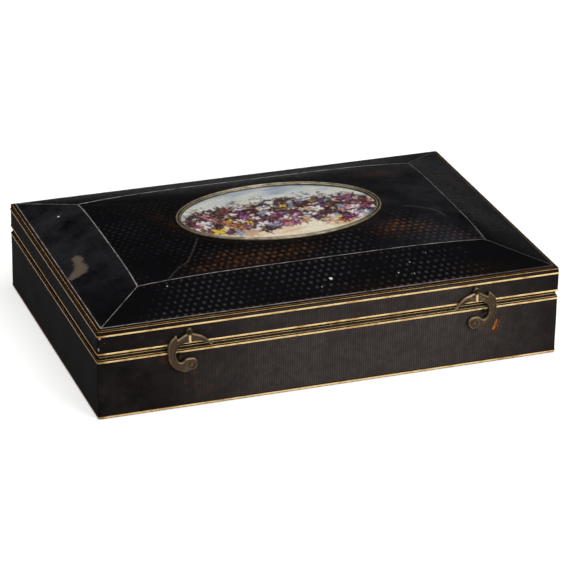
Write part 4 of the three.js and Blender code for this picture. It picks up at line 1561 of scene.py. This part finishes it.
class GardenPainting:
    """An invented bank of garden flowers under a cloudy sky, painted stroke by stroke."""

    SEED = 27
    CLOUD_COUNT, HILL_COUNT, TREE_STROKES, GROUND_COUNT = 120, 19, 18, 190
    SHADE_COUNT, FLOWER_COUNT, LEAF_COUNT = 270, 280, 4
    SKY = ("b4c8de", "e6ece8", "fff4da")
    CLOUDS = ("ffffff", "b3c2d4", "f0f3de", "8c9fba", "fff8e6")
    CLOUD_SHARES = ((0.32, 0.13, 0.25, 0.06, 0.24), (0.4, 0.24, 0.08, 0.16, 0.12))
    HILLS = ("a4b4c2", "b9c0b4", "97a4ae")
    TREES = ((-50, 10, "5d5a50"), (-24, 12, "584f44"), (-8, 15, "4c4238"), (6, 12, "5f5148"),
             (21, 14, "473a38"), (30, 11, "5b4640"), (46, 9, "5b4a4c"))
    GROUND = ("f8cfa6", "efbf95", "fce2be", "dfa47e", "f6d4b0", "fff0d6")
    SHADE = ("32131b", "42192a", "4a2818", "220d0c", "561c3a")
    LEAVES = ("26140f", "40241c", "30101a", "553a2c", "180a0c")
    PETALS = {"7c2724": 12, "86286a": 8, "542a70": 4, "3a1019": 14, "fdfaf4": 15, "dd8f96": 5,
              "f2cf45": 5, "a33a86": 4, "8c9cbc": 5, "d8b096": 7, "f6ecf0": 7, "641c42": 11,
              "bd7c3c": 5, "3c1d18": 12}  # with how often each comes
    GLINT = "f2e4ea"
    HEARTS = ("e9c65a", "3a1018")

    def __init__(self, half_long: float, half_short: float) -> None:
        """Makes up the strokes, from the back of the picture to its front.

        Args:
            half_long: Half of the plaque's length in millimetres.
            half_short: Half of its width.
        """
        self.half_long, self.half_short = half_long, half_short
        self.strokes: list[Stroke] = []
        self.chance = np.random.default_rng(self.SEED)
        self.add_hills()
        self.add_ground()
        self.add_flowers()

    def dab(
        self, x: float, y: float, long: float, short: float, turn: float, colour: str,
        cover: float, soft: float,
    ) -> None:
        """Adds a stroke."""
        self.strokes.append(Stroke(x, y, long, short, turn, str(colour), cover, soft))

    def add_hills(self) -> None:
        """Adds clouds, far hills and a few trees."""
        draw = self.chance.uniform
        for _ in range(self.CLOUD_COUNT):
            x, y = draw(-1, 1) * self.half_long, draw(0.1, 1) * self.half_short
            tone = self.chance.choice(self.CLOUDS, p=self.CLOUD_SHARES[x >= -8])
            self.dab(x, y, draw(5, 13), draw(1.6, 4.4), draw(-0.5, 0.5), tone, 0.66, 0.9)
        for k in range(self.HILL_COUNT):
            self.dab(-57 + 6.4 * k, 8 + 3 * math.sin(0.9 * k), 8, 3.4 + 1.4 * math.cos(1.7 * k),
                     0.15 * math.sin(k), self.HILLS[k % 3], 0.6, 0.5)
        for x, height, tone in self.TREES:
            for _ in range(self.TREE_STROKES):
                self.dab(x + self.chance.normal(0, 2.6), 8 + draw(0, height), 2.2, 0.9,
                         draw(0, 3), tone, 0.6, 0.6)

    def add_ground(self) -> None:
        """Adds the sandy ground."""
        draw = self.chance.uniform
        for _ in range(self.GROUND_COUNT):
            x, y = draw(-1, 1) * self.half_long, draw(-1, 0.1) * self.half_short
            tone = self.chance.choice(self.GROUND)
            self.dab(x, y, draw(5, 13), draw(1.0, 2.4), draw(-0.25, 0.25), tone, 0.6, 0.6)

    def bank(self, x: float) -> tuple[float, float]:
        """Edges of the bank of flowers at one place along the plaque.

        Args:
            x: The place.

        Returns:
            Its lower and its upper edge.
        """
        share = x / self.half_long
        oval = math.sqrt(max(1 - share ** 2, 0.0))
        low = -self.half_short * (0.77 * oval - 0.17 * math.exp(-((share - 0.1) / 0.28) ** 2))
        high = self.half_short * (0.1 + 0.22 * oval + 0.07 * math.sin(9 * share + 1))
        return low, high

    def add_flowers(self) -> None:
        """Adds the bank of flowers, the far ones first."""
        draw = self.chance.uniform
        for x in draw(-0.93, 0.93, self.SHADE_COUNT) * self.half_long:
            low, high = self.bank(x)
            self.dab(x, draw(low + 1.5, high - 1), draw(3, 6.5), draw(1.2, 2.6), draw(-0.4, 1.6),
                     self.chance.choice(self.SHADE), 0.85, 0.5)
        spread = draw(-0.95, 0.95, self.FLOWER_COUNT) * self.half_long
        places = [(x, draw(*self.bank(x))) for x in spread]
        for x, y in sorted(places, key=lambda place: -place[1]):
            self.add_flower(x, y)

    def add_flower(self, x: float, y: float) -> None:
        """Adds a flower with its leaves.

        Args:
            x: Its place along the plaque.
            y: Its place across it.
        """
        draw, weights = self.chance.uniform, np.array(list(self.PETALS.values()), float)
        size = draw(1.4, 3.5) * (1.1 - y / 60)
        for _ in range(self.LEAF_COUNT):
            self.dab(x + self.chance.normal(0, 2.2), y + self.chance.normal(0, 1.6),
                     draw(2.4, 5.2), draw(0.4, 0.9), draw(-0.3, 2.2),
                     self.chance.choice(self.LEAVES), 0.85, 0.5)
        tone = self.chance.choice(list(self.PETALS), p=weights / weights.sum())
        petals = int(self.chance.integers(4, 7))
        start = draw(0, 6)
        for k in range(petals):
            angle = start + TURN * k / petals
            cos, sin = math.cos(angle), math.sin(angle)
            self.dab(x + 0.6 * size * cos, y + 0.5 * size * sin, size * 0.72, size * 0.36,
                     angle, tone, 0.92, 0.3)
            self.dab(x + 0.75 * size * cos, y + 0.62 * size * sin + 0.2, size * 0.28, size * 0.1,
                     angle, self.GLINT, 0.35, 0.6)
        self.dab(x, y, size * 0.2, size * 0.18, 0, self.chance.choice(self.HEARTS), 0.95, 0.4)

    def colours(self, x: Array, y: Array) -> Array:
        """Paints the picture.

        Args:
            x: Place along the plaque in millimetres.
            y: Place across it.

        Returns:
            Linear red, green, blue and alpha at each point.
        """
        sky = np.array([linear(tone) for tone in self.SKY])
        share = np.clip((self.half_short - y) / (0.85 * self.half_short), 0, 1) * 2
        low = np.minimum(share.astype(int), 1)
        paint = sky[low] + (sky[low + 1] - sky[low]) * (share - low)[:, None]
        for stroke in self.strokes:
            stroke.laid_on(paint, x, y)
        return paint


@dataclass(frozen=True)
class Plaque:
    """The oval enamel and its gilt bezel."""

    form: Form
    bezel_width: float = 3.3
    bezel_height: float = 1.1
    stations: int = 360
    enamel_step: float = 0.38
    enamel_edge: float = 1.2

    def bezel(self) -> Piece:
        """Ring with an outer bead, a groove and an inner bead, and a skirt into the lid.

        Returns:
            The piece.
        """
        low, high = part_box("plaque_bezel")
        top = high.z / MM - self.bezel_height
        share = np.linspace(0, 1, 34)
        outer = np.sqrt(np.clip(1 - ((share - 0.19) / 0.19) ** 2, 0, 1))
        inner = 0.85 * np.sqrt(np.clip(1 - ((share - 0.77) / 0.2) ** 2, 0, 1))
        crest = np.maximum(np.maximum(outer, inner), np.where((share > 0) & (share < 1), 0.3, 0))
        face = np.column_stack([share * self.bezel_width, top + crest * self.bezel_height])
        skirt = node_points("plaque_bezel")
        foot = level(skirt, 2, skirt[:, 2].min())
        across = level(foot, 1, 0.0)[:, 0]
        reach = self.form.sizes.bezel_long - np.array([foot[:, 0].max(), across[across > 0].min()])
        down = [(reach[1], top), (reach[1], low.z / MM), (reach[0], low.z / MM), (reach[0], top)]
        angles = np.linspace(0, TURN, self.stations, endpoint=False)
        grid = np.stack(
            [self.form.oval(angles, inset, z) for inset, z in np.vstack([face, down])], 1)
        points, quads, _ = skin(grid, True, True)
        brightness = np.append(np.interp(crest, (0.3, 0.75), (0.1, 1.0)), [0.1] * len(down))
        return make_piece("gilt_bezel", points, quads, GILT_BRASS.material(),
                          values={LIGHT_AND_TONE: np.tile(brightness, self.stations)})

    def enamel(self) -> Piece:
        """Domed oval of enamel with its painting.

        Returns:
            The piece.
        """
        low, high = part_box("enamel_plaque")
        long, short = high.x / MM, high.y / MM
        edge = low.z / MM + self.enamel_edge
        rise = high.z / MM - edge
        count = math.ceil(2 * long / self.enamel_step)
        u, v = np.meshgrid(
            np.linspace(-1, 1, count + 1), np.linspace(-1, 1, count * 2 // 3 + 1), indexing="ij")
        x = u * np.sqrt(1 - v ** 2 / 2)
        y = v * np.sqrt(1 - u ** 2 / 2)
        top = np.stack([long * x, short * y, edge + rise * (1 - x ** 2 - y ** 2)], -1)
        points, quads, caps = closed_panel(top, low.z / MM)
        paint = GardenPainting(long, short).colours(points[:, 0], points[:, 1])
        return make_piece("painted_enamel", points, quads, ENAMEL.material(), caps=caps,
                          values={PAINT: paint})


# Hooks


@dataclass(frozen=True)
class Hook:
    """A cast hook: raised rims, a dished middle and a round boss in its curl."""

    hand: Hand
    voxel: float = 0.2
    edge: float = 0.3
    rim_at: float = 0.75
    dish: float = 0.16
    volute: tuple[float, float] = (0.9, -20.4)  # its middle from the pivot, towards the tail and up
    rings: tuple[tuple[float, ...], tuple[float, ...]] = (
        (0.0, 0.9, 1.5, 2.1, 2.8, 3.4), (1.05, 0.95, 0.74, 0.74, 0.95, 0.8))

    def outline(self, mesh: Mesh) -> tuple[Array, float]:
        """Reads the outline of a flat blank.

        Args:
            mesh: The blank's mesh.

        Returns:
            Straight pieces of its outline, as x and z of both ends, and the place of its flat
            back along Y, in millimetres.
        """
        shell = bmesh.new()
        shell.from_mesh(mesh)
        back = max(v.co.y for v in shell.verts)
        pieces = np.array([
            [(v.co.x, v.co.z) for v in e.verts] for e in shell.edges
            if all(abs(v.co.y - back) < 1e-6 for v in e.verts) and e.calc_face_angle(0) > 1])
        shell.free()
        return pieces / MM, back / MM

    def build(self, finish: Material) -> Piece:
        """Makes the hook from its flat blank.

        Args:
            finish: Its material.

        Returns:
            The piece.
        """
        node = f"hook_{self.hand.word}"
        piece = linked(f"cast_{node}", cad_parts[node].data.copy())
        turn_out(piece.data, merge=1e-6)
        outline, back = self.outline(piece.data)
        remesh = piece.modifiers.new("cast", "REMESH")
        remesh.mode = "VOXEL"
        remesh.voxel_size = self.voxel * MM
        remesh.use_smooth_shade = True
        piece.modifiers.new("fettled", "SMOOTH").iterations = 3
        bake_modifiers(piece)
        self.model(piece.data, outline, back)
        piece.data.materials.clear()
        piece.data.materials.append(finish)
        shade_smooth(piece.data)
        return piece

    def model(self, mesh: Mesh, outline: Array, back: float) -> None:
        """Gives the flat blank its relief, and the tone of its painted highlights on the rims and
        collar, painted shade in the groove inside the rims, and near-black at the pivot.

        Args:
            mesh: The blank's mesh.
            outline: Straight pieces of its outline, as x and z of both ends.
            back: Place of its flat back along Y.
        """
        points = mesh_points(mesh)
        x, z = points[:, 0], points[:, 2]
        depth, raised = (
            np.min([near_line(x, z + up, piece) for piece in outline], 0) for up in (0.0, 0.1))
        pivot = node_points(f"hook_rivet_{self.hand.word}").mean(0)
        rim = np.sin(np.clip(depth / self.rim_at, 0, 1) * math.pi / 2)
        inside = np.clip((depth - self.rim_at) / 0.9, 0, 1)
        ratio = self.edge + (1 - self.edge) * rim - self.dish * np.sin(inside * math.pi / 2)
        away = np.hypot((pivot[0] - x) * self.hand.value - self.volute[0],
                        z - pivot[2] - self.volute[1])
        ratio = np.where(away < self.rings[0][-1], np.interp(away, *self.rings), ratio)
        points[:, 1] = back + (points[:, 1] - back) * ratio
        lofty = np.clip((depth - raised) / 0.1, 0, 1)  # 1 where the nearest edge lies above, where the rims take more painted highlight
        near = np.hypot(x - pivot[0], z - pivot[2])
        # Painted highlight along the rims, strongest on the upper ones, a bright collar, painted
        # shade in the groove inside the rims, and near-black within reach of the pivot
        lit = np.exp(-((depth - 0.25) / 0.26) ** 2)
        collar_highlight = 1.9 * np.exp(-(np.abs(x - pivot[0]) / 0.9) ** 4) * (z > pivot[2] - 7)
        groove_shade = 0.4 - 0.34 * np.exp(-((depth - 0.95) / 0.4) ** 2)
        rims = groove_shade + lit * (0.45 + 1.0 * lofty)
        set_values(mesh, LIGHT_AND_TONE, np.clip((near - 1.4) / 0.8, 0.0, 1.0) * np.maximum(rims, collar_highlight))
        mesh.vertices.foreach_set("co", (points * MM).ravel())
        mesh.update()


@dataclass(frozen=True)
class Turned:
    """A rivet, washer or keeper stud, turned, with its axis out of the front."""

    kind: str
    hand: Hand
    sides: int = 40

    @property
    def node(self) -> str:
        """The CAD node that it stands for."""
        return f"{self.kind}_{self.hand.word}"

    def profile(self, radius: float, shank: float, near: float, far: float) -> Array:
        """Its section.

        Args:
            radius: Largest radius.
            shank: Radius inside the wall.
            near: Distance of its inner end from the front, below 0 inside.
            far: Distance of its outer end.

        Returns:
            Rows of radius and distance out from the front, from one end to the other.
        """
        return np.array({
            "hook_rivet": (
                (0, near), (shank, near + 1), (shank, far - 1.05), (radius, far - 1.0),
                (radius, far - 0.85), (0.92 * radius, far - 0.5), (0.7 * radius, far - 0.22),
                (0.4 * radius, far - 0.06), (0, far)),
            "hook_washer": (
                (0, near), (radius, near), (radius, near + 0.35), (radius - 0.15, near + 0.62),
                (radius - 0.5, far), (0, far)),
            "keeper_stud": (
                (0, near), (shank, near + 1), (shank, 0.15), (radius, 0.15), (radius, 0.4),
                (radius - 0.2, 0.62), (shank, 0.75), (0.85 * shank, 1.4), (shank, far - 0.5),
                (0.85 * shank, far - 0.12), (0.5 * shank, far), (0, far)),
        }[self.kind])

    def build(self, face: float, finish: Material) -> Piece:
        """Makes the piece.

        Args:
            face: Place of the front face along Y.
            finish: Its material.

        Returns:
            The piece.
        """
        points = node_points(self.node)
        low, high = points.min(0), points.max(0)
        x, z = (high[0] + low[0]) / 2, (high[2] + low[2]) / 2
        buried = points[points[:, 1] > face + 0.1][:, 0]
        shank = (buried.max() - buried.min()) / 2 if len(buried) else 0.0
        radius, out = self.profile((high[0] - low[0]) / 2, shank, face - high[1], face - low[1]).T
        angles = np.linspace(0, TURN, self.sides, endpoint=False)[:, None]
        grid = np.stack(np.broadcast_arrays(
            x + radius * np.cos(angles), face - out, z + radius * np.sin(angles)), -1)
        made = make_piece(f"turned_{self.node}", *skin(grid, True, False)[:2], finish, sharp=40)
        turn_out(made.data, merge=1e-7)
        return made


# Silk


@dataclass(frozen=True)
class Lining:
    """The silk inside the base and the lid."""

    form: Form
    edge_step: float = 2.0
    pull: float = 0.8  # how far a pad's sides are drawn in between its corners
    roll: float = 6.0  # width of a pad's soft edge
    mitre: float = 0.2
    stations: int = 61

    def pad(self, name: str, node: str, up: int, finish: Material) -> Piece:
        """Thin wadded pad with a soft edge, drawn in a little between its corners.

        Args:
            name: Name of the piece.
            node: CAD node that it stands for.
            up: 1 where its silk faces up, -1 where it faces down.
            finish: Its material.

        Returns:
            The piece.
        """
        low, high = (np.array(corner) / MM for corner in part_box(node))
        half, middle = (high - low) / 2, (high + low) / 2
        spread = []
        for k in (0, 1):
            even = np.linspace(-1, 1, 2 * math.ceil(half[k] / self.edge_step) + 1)
            spread.append(np.sin(even * math.pi / 2) * 0.35 + even * 0.65)
        u, v = np.meshgrid(*spread, indexing="ij")
        x = half[0] * u - self.pull * np.sign(u) * np.abs(u) ** 8 * (1 - v ** 4)
        y = half[1] * v - self.pull * np.sign(v) * np.abs(v) ** 8 * (1 - u ** 4)
        shore = np.minimum(half[0] * (1 - np.abs(u)), half[1] * (1 - np.abs(v)))
        crest = np.sqrt(1 - near_zero(shore, self.roll) ** 2)
        dimple = 0.07 * ripple(x, y, 22, 8) + 0.03 * ripple(x, y, 7, 9)
        height = (high[2] - low[2]) * (0.3 + 0.62 * crest + dimple * crest)
        seat = low[2] if up > 0 else high[2]
        upper = np.stack([x, y, seat + up * height], -1) + (middle[0], middle[1], 0)
        points, quads, caps = closed_panel(upper, seat)
        return make_piece(name, points, quads, finish, caps=caps, surface=points[quads][..., :2])

    def bar(self, name: str, node: str, side: Side, finish: Material) -> Piece:
        """Silk over card along one wall, turned out over the meeting edge.

        Args:
            name: Name of the piece.
            node: CAD node that it stands for.
            side: The side that it lines.
            finish: Its material.

        Returns:
            The piece.
        """
        size, points = self.form.sizes, node_points(node)
        insets = (size.half_width - np.abs(points[:, 1]) if side in (Side.FRONT, Side.BACK)
                  else size.half_length - np.abs(points[:, 0]))
        inner, outer, turn = insets.max(), np.sort(np.unique(insets.round(2)))[1], insets.min()
        foot, land, step = points[:, 2].min(), points[:, 2].max(), outer - inner
        if node.startswith("lid"):
            foot, land, step = land, foot, -step
        section = subdivided(rounded((
            (outer, foot, 0), (inner, foot, 0.3), (inner, land, 0.9), (turn, land, 0.3),
            (turn, land + step, 0), (outer, land + step, 0),
        )), self.edge_step)
        shares = np.linspace(-1, 1, self.stations)[:, None]
        inset, z = (section[None, :, k] + 0 * shares for k in (0, 1))
        grid = self.form.place(side, shares * (size.half(side) - inset - self.mitre), inset, z)
        whole, quads, corners = skin(grid, False, True)
        surface = unrolled(corners, along_path(grid[:, 0]), along_path(section, True))
        return make_piece(name, whole, quads, finish, caps=end_caps(grid), surface=surface)


# Hinges


@dataclass(frozen=True)
class HingeRoom:
    """Room for the hinge leaves and barrels, cut out of the leather and silk of one half."""

    half: str
    margin: float = 0.3
    sides: int = 32

    def tool(self, points: Points, faces: Sequence[Sequence[int]]) -> Piece:
        """Makes a closed cutting tool with its faces pointing out.

        Args:
            points: Its corners.
            faces: Corner numbers of each face.

        Returns:
            The tool.
        """
        mesh = bpy.data.meshes.new("hinge_room")
        mesh.from_pydata((points * MM).tolist(), [], faces)
        turn_out(mesh)
        return linked("hinge_room", mesh)

    def tools(self, hand: Hand) -> list[Piece]:
        """Makes the tools for one hinge: a block for the leaf and a rod for the barrel.

        Args:
            hand: Which hinge.

        Returns:
            The tools.
        """
        leaf = node_points(f"hinge_{self.half}_leaf_{hand.word}")
        low, high = leaf.min(0) - self.margin, leaf.max(0) + self.margin
        pin = node_points(f"hinge_pin_{hand.word}")
        axis = (pin.min(0) + pin.max(0)) / 2
        plate = leaf[leaf[:, 1] < low[1] + 2 * self.margin + 1][:, 2]
        deep = plate.min() - self.margin if self.half == "base" else plate.max() + self.margin
        block = np.array([(x, y, z) for x in (low[0], high[0]) for y in (low[1], axis[1])
                          for z in (axis[2], deep)])
        corners = [[0, 1, 3, 2], [4, 5, 7, 6], [0, 1, 5, 4], [2, 3, 7, 6], [0, 2, 6, 4],
                   [1, 3, 7, 5]]
        turn = np.linspace(0, TURN, self.sides, endpoint=False)
        radius = high[1] - axis[1]
        rod = np.stack([np.stack([0 * turn + x, axis[1] + radius * np.cos(turn),
                                  axis[2] + radius * np.sin(turn)], 1)
                        for x in (low[0], high[0])])
        ring, around, _ = skin(rod, False, True)
        return [self.tool(block, corners), self.tool(ring, around.tolist() + end_caps(rod))]

    def cut(self, piece: Piece) -> Piece:
        """Cuts the room out of a piece.

        Args:
            piece: The piece.

        Returns:
            The same piece.
        """
        tools = [tool for hand in Hand for tool in self.tools(hand)]
        for tool in tools:
            cutter = piece.modifiers.new("room", "BOOLEAN")
            cutter.solver, cutter.operation, cutter.object = "MANIFOLD", "DIFFERENCE", tool
        bake_modifiers(piece)
        for tool in tools:
            bpy.data.meshes.remove(tool.data)
        piece.data.set_sharp_from_angle(angle=math.radians(SHARP))
        return piece


# Studio


@dataclass(frozen=True)
class Studio:
    """Pale floor, soft lights and the camera at the photograph's viewing angle."""

    azimuth: float = -19.836
    elevation: float = 24.779
    roll: float = 0.775
    lens: float = 185.752
    sensor: float = 36.0
    eye: tuple[float, float, float] = (-0.539502, -1.507512, 0.761345)
    floor_half: float = 4.0
    paper: str = "f4f3f1"
    paper_glow: float = 0.6
    world_light: float = 0.07
    lamps: tuple[tuple, ...] = (  # name, place, aim, two sides in metres, watts
        ("key_light", (0.75, -1.35, 0.75), (0, 0, 0.03), (1.0, 0.8), 13),
        ("top_light", (0.1, -0.3, 1.5), (0, 0, 0), (1.4, 1.4), 14),
        ("left_fill", (-1.5, -0.5, 0.6), (0, 0, 0.03), (0.8, 0.8), 2.5),
    )

    def camera(self) -> None:
        """Places the camera."""
        data = bpy.data.cameras.new("camera")
        data.lens, data.sensor_width = self.lens, self.sensor
        camera = linked("camera", data)
        camera.matrix_world = (
            Matrix.Translation(self.eye)
            @ Matrix.Rotation(math.radians(self.azimuth), 4, "Z")
            @ Matrix.Rotation(math.pi / 2 - math.radians(self.elevation), 4, "X")
            @ Matrix.Rotation(math.radians(self.roll), 4, "Z"))
        bpy.context.scene.camera = camera

    def light(self) -> None:
        """Adds the soft lamps and the light of the world."""
        for name, place, aim, size, power in self.lamps:
            data = bpy.data.lights.new(name, "AREA")
            data.shape, data.size, data.size_y, data.energy = "RECTANGLE", *size, power
            lamp = linked(name, data)
            lamp.location = place
            lamp.rotation_euler = (
                Vector(aim) - Vector(place)).to_track_quat("-Z", "Y").to_euler()
        world = bpy.data.worlds.new("studio")
        world.use_nodes = True
        background = world.node_tree.nodes["Background"].inputs
        background[0].default_value = (1, 1, 1, 1)
        background[1].default_value = self.world_light
        bpy.context.scene.world = world

    def floor(self) -> None:
        """Adds the pale floor, which glows a little for the camera and in the metal."""
        half = self.floor_half
        mesh = bpy.data.meshes.new("studio_floor")
        mesh.from_pydata([(-half, -half, 0), (half, -half, 0), (half, half, 0), (-half, half, 0)],
                         [], [(0, 1, 2, 3)])
        look = Look("studio_paper", Roughness=0.9, Specular_IOR_Level=0.0,
                    Base_Color=linear(self.paper), Emission_Color=(1, 1, 1, 1))
        rays = add_node(look.tree, "ShaderNodeLightPath").outputs
        seen = look.maths("MAXIMUM", rays["Is Camera Ray"], rays["Is Glossy Ray"])
        shown = look.maths("MAXIMUM", seen, rays["Is Transmission Ray"])
        mesh.materials.append(look.finished(Emission_Strength=look.times(shown, self.paper_glow)))
        linked("studio_floor", mesh)

    def build(self) -> None:
        """Adds everything of the studio."""
        self.camera()
        self.floor()
        self.light()
        bpy.context.scene.view_settings.view_transform = "Standard"


# The casket


@dataclass(frozen=True)
class Casket:
    """The whole casket, dressed."""

    form: Form

    def register(self, piece: Piece, body: str, slot: str, *nodes: str) -> None:
        """Makes a piece ride on a body and stand for CAD nodes.

        Args:
            piece: The piece.
            body: Body that it moves with.
            slot: Not used.
            nodes: CAD nodes that it stands for.
        """
        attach(piece, body)
        if nodes:
            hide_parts(*nodes)
        LOG.info("%s: %d faces, on %s", piece.name, len(piece.data.polygons), body)

    def dress_leathers(self) -> None:
        """Makes the leathers and the lines tooled in them."""
        leathers, wall, panel = (
            Leathers(self.form), WALL_LEATHER.material(), PANEL_LEATHER.material())
        self.register(HingeRoom("base").cut(leathers.base(wall)), "base", "wall_leather",
                      "base_leather")
        self.register(HingeRoom("lid").cut(leathers.rim(wall)), "lid", "wall_leather",
                      "lid_leather_rim")
        for side in Side:
            self.register(leathers.slope(side, panel), "lid", "panel_leather",
                          f"lid_leather_{side.value}")
        self.register(leathers.top(panel), "lid", "panel_leather", "lid_leather_top")
        for piece, body in Tooling(self.form).build():
            self.register(piece, body, "wall_leather")

    def dress_plaque(self) -> None:
        """Makes the enamel and its bezel."""
        plaque = Plaque(self.form)
        self.register(plaque.bezel(), "lid", "gilt_brass", "plaque_bezel")
        self.register(plaque.enamel(), "lid", "enamel", "enamel_plaque")

    def dress_hooks(self) -> None:
        """Makes the hooks with their rivets, washers and studs."""
        bronze, face = BRONZE.material(), -self.form.sizes.half_width
        for hand in Hand:
            self.register(Hook(hand).build(bronze), f"{hand.word}_hook", "cast_bronze",
                          f"hook_{hand.word}")
            # The fittings hold no tone values, so the bronze gives them its near-black colour
            for kind, body in (("hook_rivet", "lid"), ("hook_washer", "lid"),
                               ("keeper_stud", "base")):
                fitting = Turned(kind, hand)
                self.register(fitting.build(face, bronze), body, "cast_bronze", fitting.node)

    def dress_lining(self) -> None:
        """Makes the silk pads and wall linings."""
        lining, silk = Lining(self.form), SILK.material()
        for name, node, up, body in (("silk_floor_pad", "base_floor_pad", 1, "base"),
                                     ("silk_lid_pad", "lid_lining_pad", -1, "lid")):
            pad = lining.pad(name, node, up, silk)
            self.register(pad, body, "silk_lining", node)
        for body in ("base", "lid"):
            for side in Side:
                node = f"{body}_lining_{side.value}"
                piece = lining.bar(f"silk_{node}", node, side, silk)
                if side is Side.BACK:
                    HingeRoom(body).cut(piece)
                self.register(piece, body, "silk_lining", node)

    def dress_nodes(self) -> None:
        """Gives the CAD nodes that stay their finishes."""
        finishes = (("board", PINE), ("rail", PINE), ("cover_sheet", COVER_PAPER),
                    ("backing", CARD), ("hinge", HINGE_BRASS))
        made = {word: finish.material() for word, finish in finishes}
        for name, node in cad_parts.items():
            word = next((w for w in made if w in name), None)
            if word and not node.hide_render:
                node.data.materials.clear()
                node.data.materials.append(made[word])

    def build(self) -> None:
        """Dresses the whole casket."""
        self.dress_leathers()
        self.dress_plaque()
        self.dress_hooks()
        self.dress_lining()
        self.dress_nodes()


def main() -> None:
    """Builds the studio and the casket."""
    logging.basicConfig(level=logging.INFO, format="%(name)s: %(message)s")
    Studio().build()
    Casket(Form(Sizes.measured())).build()


if __name__ == "__main__":
    main()
